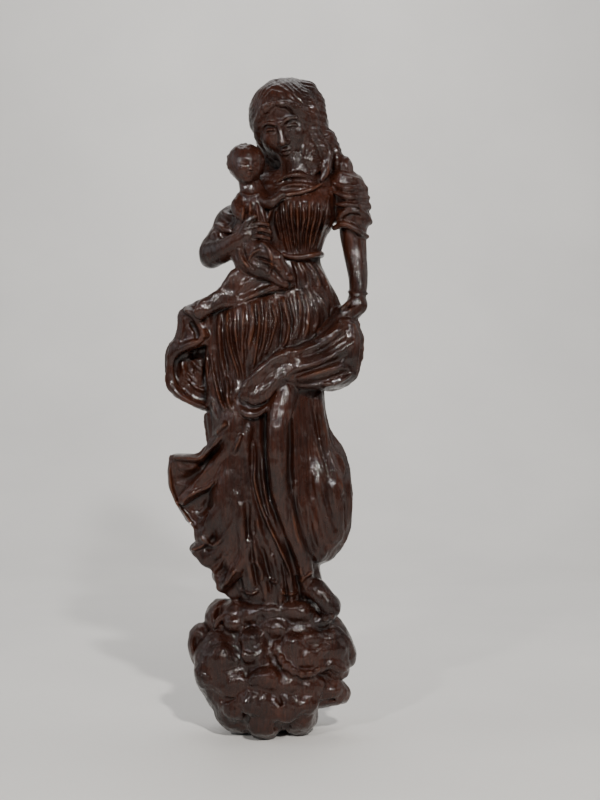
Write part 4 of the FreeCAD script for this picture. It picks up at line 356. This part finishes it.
        (445, 20.9, 2.8, (29, 29, 29.5, 30.3, 31.1, 30, 26.7, 25.3, 24.5, 24, 23.5, 23.5, 23.5, 23.7, 24, 24.5, 24.5, 25, 25.8, 26.5, 26.8, 27.2, 27.3, 27.5, 27.8, 28.5, 29.7, 31, 31.7, 31.2, 30.2, 28.1, 26.6, 26.7, 26.6, 25, 26, 27.5, 28.2, 28.4, 27.7, 26.5, 25.9, 27.4, 30.5, 30.2, 25.7, 23.3, 22.8, 22.5, 22.1, 22.8, 23.7, 24.5, 24.9, 26.6, 28.9, 30.2, 29.6, 28.3, 29.8, 30.2, 29.5, 29)),
        (448, 20.3, 3.1, (29.1, 29.7, 30, 30.8, 31.8, 30.1, 26.9, 25.5, 24.8, 24.3, 24.3, 24.5, 24.6, 25.2, 25.7, 26, 26.5, 27, 27.3, 27.7, 28.2, 28.5, 28.5, 28.5, 28.3, 28.5, 29.3, 30.2, 30.7, 30.7, 30.1, 28, 26.7, 28, 29.4, 29.1, 27.5, 28.2, 29.2, 29.5, 29.2, 28.5, 27.2, 26.6, 30.2, 29.9, 25.4, 24.9, 25, 25, 24.7, 24.6, 25, 25.1, 26.1, 27.9, 29.2, 29.7, 29.1, 29.4, 31.3, 30.8, 30, 29.7)),
        (451, 19.7, 3.2, (29.8, 30.2, 30.8, 31.5, 32.2, 29.8, 27.3, 26.1, 25.7, 25.5, 25.5, 25.5, 26, 26, 26.5, 27, 27.3, 27.7, 28, 28.7, 29.2, 29.5, 29.5, 29.3, 29.2, 29, 29.3, 29.8, 30.4, 30.5, 29.7, 28.3, 27.1, 27.4, 29.4, 30.9, 30.2, 28.9, 29, 29.5, 29.5, 29.2, 28.3, 27.7, 29.6, 29.9, 26.6, 26.2, 26.5, 26.5, 26.2, 25.8, 25.7, 25.6, 27, 28.4, 28.7, 28, 27.7, 30.2, 32.1, 31.5, 30.8, 30.2)),
        (454, 18.8, 3.3, (29.6, 29.9, 31.7, 32.4, 31.6, 29.5, 27.8, 27, 26.8, 26.7, 26.8, 27, 26.8, 27.2, 27.5, 27.7, 28, 28.3, 28.8, 29.2, 29.5, 29.7, 29.8, 29.8, 29.7, 29.5, 29.3, 29.5, 30, 29.7, 29, 28.5, 27.8, 28.1, 29.3, 30.7, 31.9, 31.2, 29.6, 29.1, 29.8, 30.6, 29.9, 28.5, 29.5, 30.2, 27.5, 26.8, 27.2, 27.2, 27, 26.8, 26.7, 26.6, 27.7, 28.7, 28.4, 26.8, 26.7, 29.7, 31.9, 32.4, 31.8, 31.1)),
        (457, 17.5, 2.9, (29.6, 29.6, 31, 31.9, 31.7, 30.3, 28.8, 28.5, 28.5, 28.3, 28.2, 28, 28, 28, 28, 28.3, 28.7, 29, 29.2, 29.3, 29.7, 29.8, 30, 29.8, 29.5, 29, 28.8, 29, 29.2, 29, 28.7, 28.3, 28.3, 29, 29.3, 30, 31.2, 31.9, 31.7, 30.3, 29.5, 29, 28.8, 29.1, 30.2, 30.6, 28.8, 27.9, 28.6, 28, 27.1, 27.3, 27.7, 27.4, 28.2, 28.9, 28.7, 27.8, 27.2, 28.5, 30.7, 32, 32.1, 30.8)),
        (460, 16.2, 2.4, (29.8, 30.3, 31, 31.9, 32, 31.3, 30.5, 29.8, 29.5, 29.2, 29, 29, 29, 29.2, 29, 28.8, 29, 29.3, 29.5, 29.5, 29.5, 29.9, 29.8, 29.5, 29.3, 29, 28.5, 28.5, 28.7, 28.7, 28.5, 28.8, 29.2, 29.3, 29.7, 29.8, 30.3, 31.2, 31.9, 31.7, 30.6, 30.1, 30.7, 30.7, 30.1, 30.2, 30.1, 30.2, 28, 27.2, 26.8, 27.3, 28.2, 28.5, 28.8, 29.5, 29.4, 28.3, 27.6, 28.5, 29.9, 30.2, 30.2, 29.8)),
        (463, 15.5, 1.9, (29.7, 30.1, 31, 31.9, 32, 31.7, 31, 30.3, 30, 29.5, 29.3, 29.2, 29.3, 29.2, 29, 29, 29, 29.2, 29.3, 29.5, 29.5, 29.5, 29.5, 29.5, 29.5, 29, 28.6, 28.7, 28.8, 28.8, 29, 29.5, 29.5, 30, 30, 30, 30.2, 30.5, 31.3, 32.2, 32.2, 31.4, 29.4, 29.2, 29.5, 29.5, 29.3, 29, 29, 29.2, 28.5, 28.3, 29, 29.2, 29.1, 29.5, 29.7, 28.7, 27.4, 28, 29.4, 30, 29.7, 29.5)),
        (466, 15.2, 1.1, (29.5, 30, 30.8, 32.2, 32.7, 32.2, 31.3, 30.5, 30.2, 30, 29.7, 29.5, 29.3, 29, 28.8, 29, 29.2, 29.3, 29.5, 29.5, 29.5, 29.5, 29.5, 29.5, 29.5, 29.5, 29.5, 29.3, 29.3, 29.7, 29.8, 29.8, 30, 30, 30, 30.2, 30.2, 30, 30.3, 31.5, 32.7, 33.4, 31.9, 29.7, 29.2, 29, 28.8, 28.5, 28.1, 28.5, 29.2, 29.5, 29.7, 29.5, 29.1, 29.5, 29.9, 29, 28.1, 28.3, 29.4, 30, 30, 29.5)),
        (469, 14.9, 0.3, (29.3, 29.3, 30.5, 31.7, 32.7, 32.7, 31.8, 31.1, 31, 30.5, 30.5, 30, 29.7, 29.3, 29, 29, 29.5, 29.5, 29.5, 29.7, 29.7, 29.5, 29.7, 29.8, 29.7, 29.5, 29.5, 29.7, 29.8, 30, 30, 30, 29.8, 29.8, 30, 29.8, 29.7, 29.8, 29.8, 30.1, 31.5, 32.9, 33.2, 32.3, 29.9, 28.6, 28.5, 28.6, 29.7, 30.7, 30.5, 30.2, 29.3, 28.3, 27.8, 28.5, 29.7, 29.6, 28.1, 27.7, 29.2, 30.2, 30, 29.5)),
        (472, 14.7, -0.3, (28.5, 28.5, 29.3, 31.2, 32.2, 32.5, 32, 31.3, 31.2, 31.2, 30.7, 30.3, 30, 29.3, 28.8, 28.8, 29, 29.2, 29.2, 29.3, 29.7, 29.8, 29.7, 29.5, 29.5, 29.3, 29.5, 29.5, 29.7, 30, 30, 29.8, 29.7, 29.5, 29.2, 29, 29, 29.2, 29.2, 29, 29.3, 30.5, 31.7, 32.2, 31.7, 30.6, 31, 31.3, 31.4, 30.8, 30.2, 28.8, 27.8, 27.3, 27.1, 28, 29.2, 29.2, 28.3, 27.9, 28.7, 29.7, 29.7, 28.8)),
        (475, 14.8, 0.5, (27.8, 28.3, 29, 30.3, 31.4, 31.2, 30.7, 30.3, 30, 29.8, 29.7, 29.5, 28.7, 27.8, 27.1, 27, 27, 27.2, 27.5, 28, 28, 28, 28, 28.2, 28.5, 28.5, 28.5, 28.5, 29, 29.5, 29.5, 29.7, 29.7, 29.3, 29.2, 29.3, 29.5, 29.2, 29, 29.2, 29.3, 29.2, 29, 28.7, 28.5, 28.3, 29, 30.1, 29.5, 28.7, 27.6, 27.3, 27.3, 27.3, 27.8, 28.9, 29.2, 28, 27.1, 27.8, 28.7, 29.2, 29.2, 28.3)),
        (478, 14.9, 0.5, (27.5, 27.3, 28.1, 29.4, 30.2, 30.4, 29.8, 29.3, 29.2, 29, 28.8, 28.5, 27.7, 26.8, 26, 25.7, 25.5, 25.8, 26.3, 26.7, 27, 27, 27.2, 27.5, 27.7, 27.8, 27.8, 28, 28.5, 28.7, 28.8, 29.2, 29, 28.8, 28.8, 29, 28.8, 28.7, 28.5, 28.5, 28.5, 28.3, 28.2, 28, 28, 27.8, 27.5, 27.5, 27.2, 26.8, 26.7, 26.7, 26.5, 26.8, 27.5, 28, 27.9, 26.8, 26.3, 27.3, 28.5, 29, 28.7, 28)),
        (481, 14.9, 0.4, (26.3, 26.3, 27.1, 28.4, 29, 29, 28.7, 28, 27.8, 27.7, 27.5, 26.8, 26.2, 25.5, 25, 24.7, 24.5, 24.5, 25, 25.3, 25.5, 26, 26.3, 26.7, 27, 27, 27.2, 27.3, 27.2, 27.3, 27.5, 28, 28, 27.8, 27.9, 27.5, 27.5, 27.5, 27.5, 27.5, 27.2, 27, 27, 26.7, 26.3, 26.5, 26.5, 26, 26, 25.8, 25.7, 25.5, 25.5, 25.8, 26, 26, 25.5, 25.3, 25.8, 26.8, 28, 28.4, 28, 27)),
        (484, 14.8, 0.4, (24.8, 25, 25.5, 26.5, 27.5, 27.7, 27.3, 26.8, 26.5, 26, 25.7, 25, 24.2, 23.5, 23.2, 23, 23, 23.2, 23.3, 23.5, 24, 24.5, 25, 25.2, 25.3, 25.5, 25.7, 25.7, 25.5, 25.5, 26, 26.2, 26, 26.2, 26.3, 26.2, 26.3, 26.3, 26.2, 26, 25.8, 25.5, 25.3, 25.4, 25, 24.7, 24.5, 24.5, 24.3, 24.2, 24, 24, 24, 24.2, 24.2, 24, 23.8, 24.3, 25.2, 26, 26.7, 26.7, 26, 25.1)),
        (487, 14.7, 0.2, (22.8, 22.8, 23.3, 24.2, 25, 25.5, 25.7, 24.8, 24, 23.5, 23.2, 22.5, 21.7, 21.1, 21, 21, 21.2, 21.5, 21.7, 21.8, 22.2, 22.5, 23, 23.2, 23.3, 23.5, 23.7, 23.8, 23.7, 23.8, 23.7, 23.8, 24, 24, 24.2, 24.3, 24.3, 24.2, 24, 24, 23.7, 23.3, 23.5, 23.3, 23, 22.8, 22.5, 22, 22, 21.8, 21.7, 21.5, 21.7, 21.8, 21.7, 21.6, 22, 23, 24.2, 24.7, 24.9, 24.5, 23.7, 23)),
        (490, 14.8, 0.1, (21.2, 20.5, 20.3, 20.6, 21.5, 22, 21.7, 21.3, 20.7, 20.3, 20, 19.3, 18.8, 18.5, 18.5, 18.7, 19, 19.2, 19.5, 20, 20, 20.2, 20.5, 20.7, 20.8, 21, 21, 21.2, 21.3, 21.3, 21.2, 21, 21.2, 21.3, 21.2, 21.2, 21.3, 21.2, 21, 21, 20.8, 20.7, 20.3, 20, 20, 20, 20, 19.5, 19.3, 19.2, 19, 18.8, 18.7, 18.7, 18.8, 19, 19.8, 20.8, 22, 22.7, 22.8, 22.7, 22.5, 22)),
        (493.5, 15.3, -0.4, (18.2, 17.9, 17.6, 17.2, 16.7, 16.3, 15.8, 15.4, 15, 14.7, 14.5, 14.4, 14.3, 14.4, 14.5, 14.7, 14.9, 15.1, 15.4, 15.6, 15.9, 16.1, 16.3, 16.5, 16.7, 16.8, 16.9, 17, 17.1, 17.2, 17.3, 17.3, 17.4, 17.4, 17.4, 17.3, 17.2, 17.1, 16.9, 16.7, 16.4, 16, 15.7, 15.3, 15, 14.6, 14.4, 14.2, 14, 14, 14.1, 14.3, 14.6, 14.9, 15.4, 15.9, 16.4, 16.9, 17.3, 17.7, 18, 18.2, 18.3, 18.3)),
        (496.5, 13.8, -0.4, (9.2, 9.2, 9.1, 9, 8.9, 8.9, 8.8, 8.7, 8.7, 8.7, 8.7, 8.7, 8.7, 8.7, 8.8, 8.8, 8.9, 9, 9, 9.1, 9.2, 9.3, 9.3, 9.3, 9.4, 9.4, 9.4, 9.4, 9.4, 9.3, 9.3, 9.2, 9.1, 9.1, 9, 8.9, 8.9, 8.8, 8.7, 8.7, 8.7, 8.7, 8.7, 8.7, 8.7, 8.7, 8.8, 8.9, 8.9, 9, 9.1, 9.2, 9.3, 9.3, 9.4, 9.4, 9.5, 9.5, 9.5, 9.5, 9.5, 9.4, 9.4, 9.3)),
        (499, 14.4, 0.4, (5.8, 5.7, 5.6, 5.6, 5.5, 5.5, 5.4, 5.4, 5.4, 5.4, 5.4, 5.5, 5.5, 5.6, 5.6, 5.7, 5.8, 5.8, 5.9, 6, 6.1, 6.1, 6.2, 6.2, 6.3, 6.3, 6.3, 6.3, 6.2, 6.2, 6.1, 6.1, 6, 5.9, 5.8, 5.7, 5.7, 5.6, 5.5, 5.5, 5.4, 5.4, 5.4, 5.4, 5.4, 5.4, 5.5, 5.5, 5.6, 5.6, 5.7, 5.8, 5.8, 5.9, 5.9, 6, 6, 6, 6, 6, 6, 5.9, 5.9, 5.8)),
    ],
}


def carved(stations):
    """Solid under one smooth skin, cubic both ways, closed around and clamped at its two ends.

    The stations' points are the skin's control points. The radii are let out a little,
    because a cubic skin passes inside its control points.
    """
    n = len(stations[0][3])
    m = len(stations)
    grow = 6.0 / (4.0 + 2.0 * math.cos(2 * math.pi / n))
    poles = []
    for i in range(n):
        a = 2 * math.pi * i / n
        poles.append([Vector(cx + grow * r[i] * math.cos(a), cy + grow * r[i] * math.sin(a), z)
                      for z, cx, cy, r in stations])
    skin = Part.BSplineSurface()
    skin.buildFromPolesMultsKnots(poles, [1] * (n + 1), [4] + [1] * (m - 4) + [4],
                                  [float(k) for k in range(n + 1)], [float(k) for k in range(m - 2)],
                                  True, False, 3, 3)
    side = skin.toShape()
    caps = []
    for z in (stations[0][0], stations[-1][0]):
        rim = [e for e in side.Edges if abs(e.BoundBox.ZMin - z) < 1e-3 and abs(e.BoundBox.ZMax - z) < 1e-3]
        caps.append(Part.Face(Part.Wire(rim[:1])))
    joined = Part.makeCompound([side] + caps)
    joined.sewShape()
    solid = Part.Solid(joined.Shells[0])
    if solid.Volume < 0:
        solid.reverse()
    return solid


def block_box(b):
    x0, x1, y0, y1, z0, z1 = b
    return Part.makeBox(x1 - x0, y1 - y0, z1 - z0, Vector(x0, y0, z0))


def touching(a, b):
    """True where two boxes share volume."""
    return all(a[i] < b[i + 1] and b[i] < a[i + 1] for i in (0, 2, 4))


def largest(shape):
    return max(shape.Solids, key=lambda s: s.Volume)


def dowel(r, start, direction, length):
    return Part.makeCylinder(r, length, Vector(*start), Vector(*direction))


blocks = {}
for i, (name, own) in enumerate(BLOCKS):
    form = carved(STATIONS[name])
    above = [b for _, boxes in BLOCKS[:i] for b in boxes]
    kept = []
    for b in own:
        piece = form.common(block_box(b))
        for other in above:
            if touching(b, other):
                piece = piece.cut(block_box(other))
        kept.append(piece)
    piece = kept[0]
    for extra in kept[1:]:
        piece = piece.fuse(extra).removeSplitter()
    blocks[name] = largest(piece)

for node, radius, rows in DOWELS:
    pins = [dowel(radius, *row) for row in rows]
    for name in blocks:
        for pin in pins:
            if blocks[name].BoundBox.intersect(pin.BoundBox):
                blocks[name] = largest(blocks[name].cut(pin))
    Part.makeCompound(pins).exportStep("parts/" + node + ".step")
    print("%-20s %d" % (node, len(pins)))

for name, solid in blocks.items():
    solid.exportStep("parts/" + name + ".step")
    bb = solid.BoundBox
    print("%-20s %s %9.0f mm3  x %6.1f..%6.1f y %6.1f..%6.1f z %6.1f..%6.1f" % (
        name, solid.isValid(), solid.Volume, bb.XMin, bb.XMax, bb.YMin, bb.YMax, bb.ZMin, bb.ZMax))
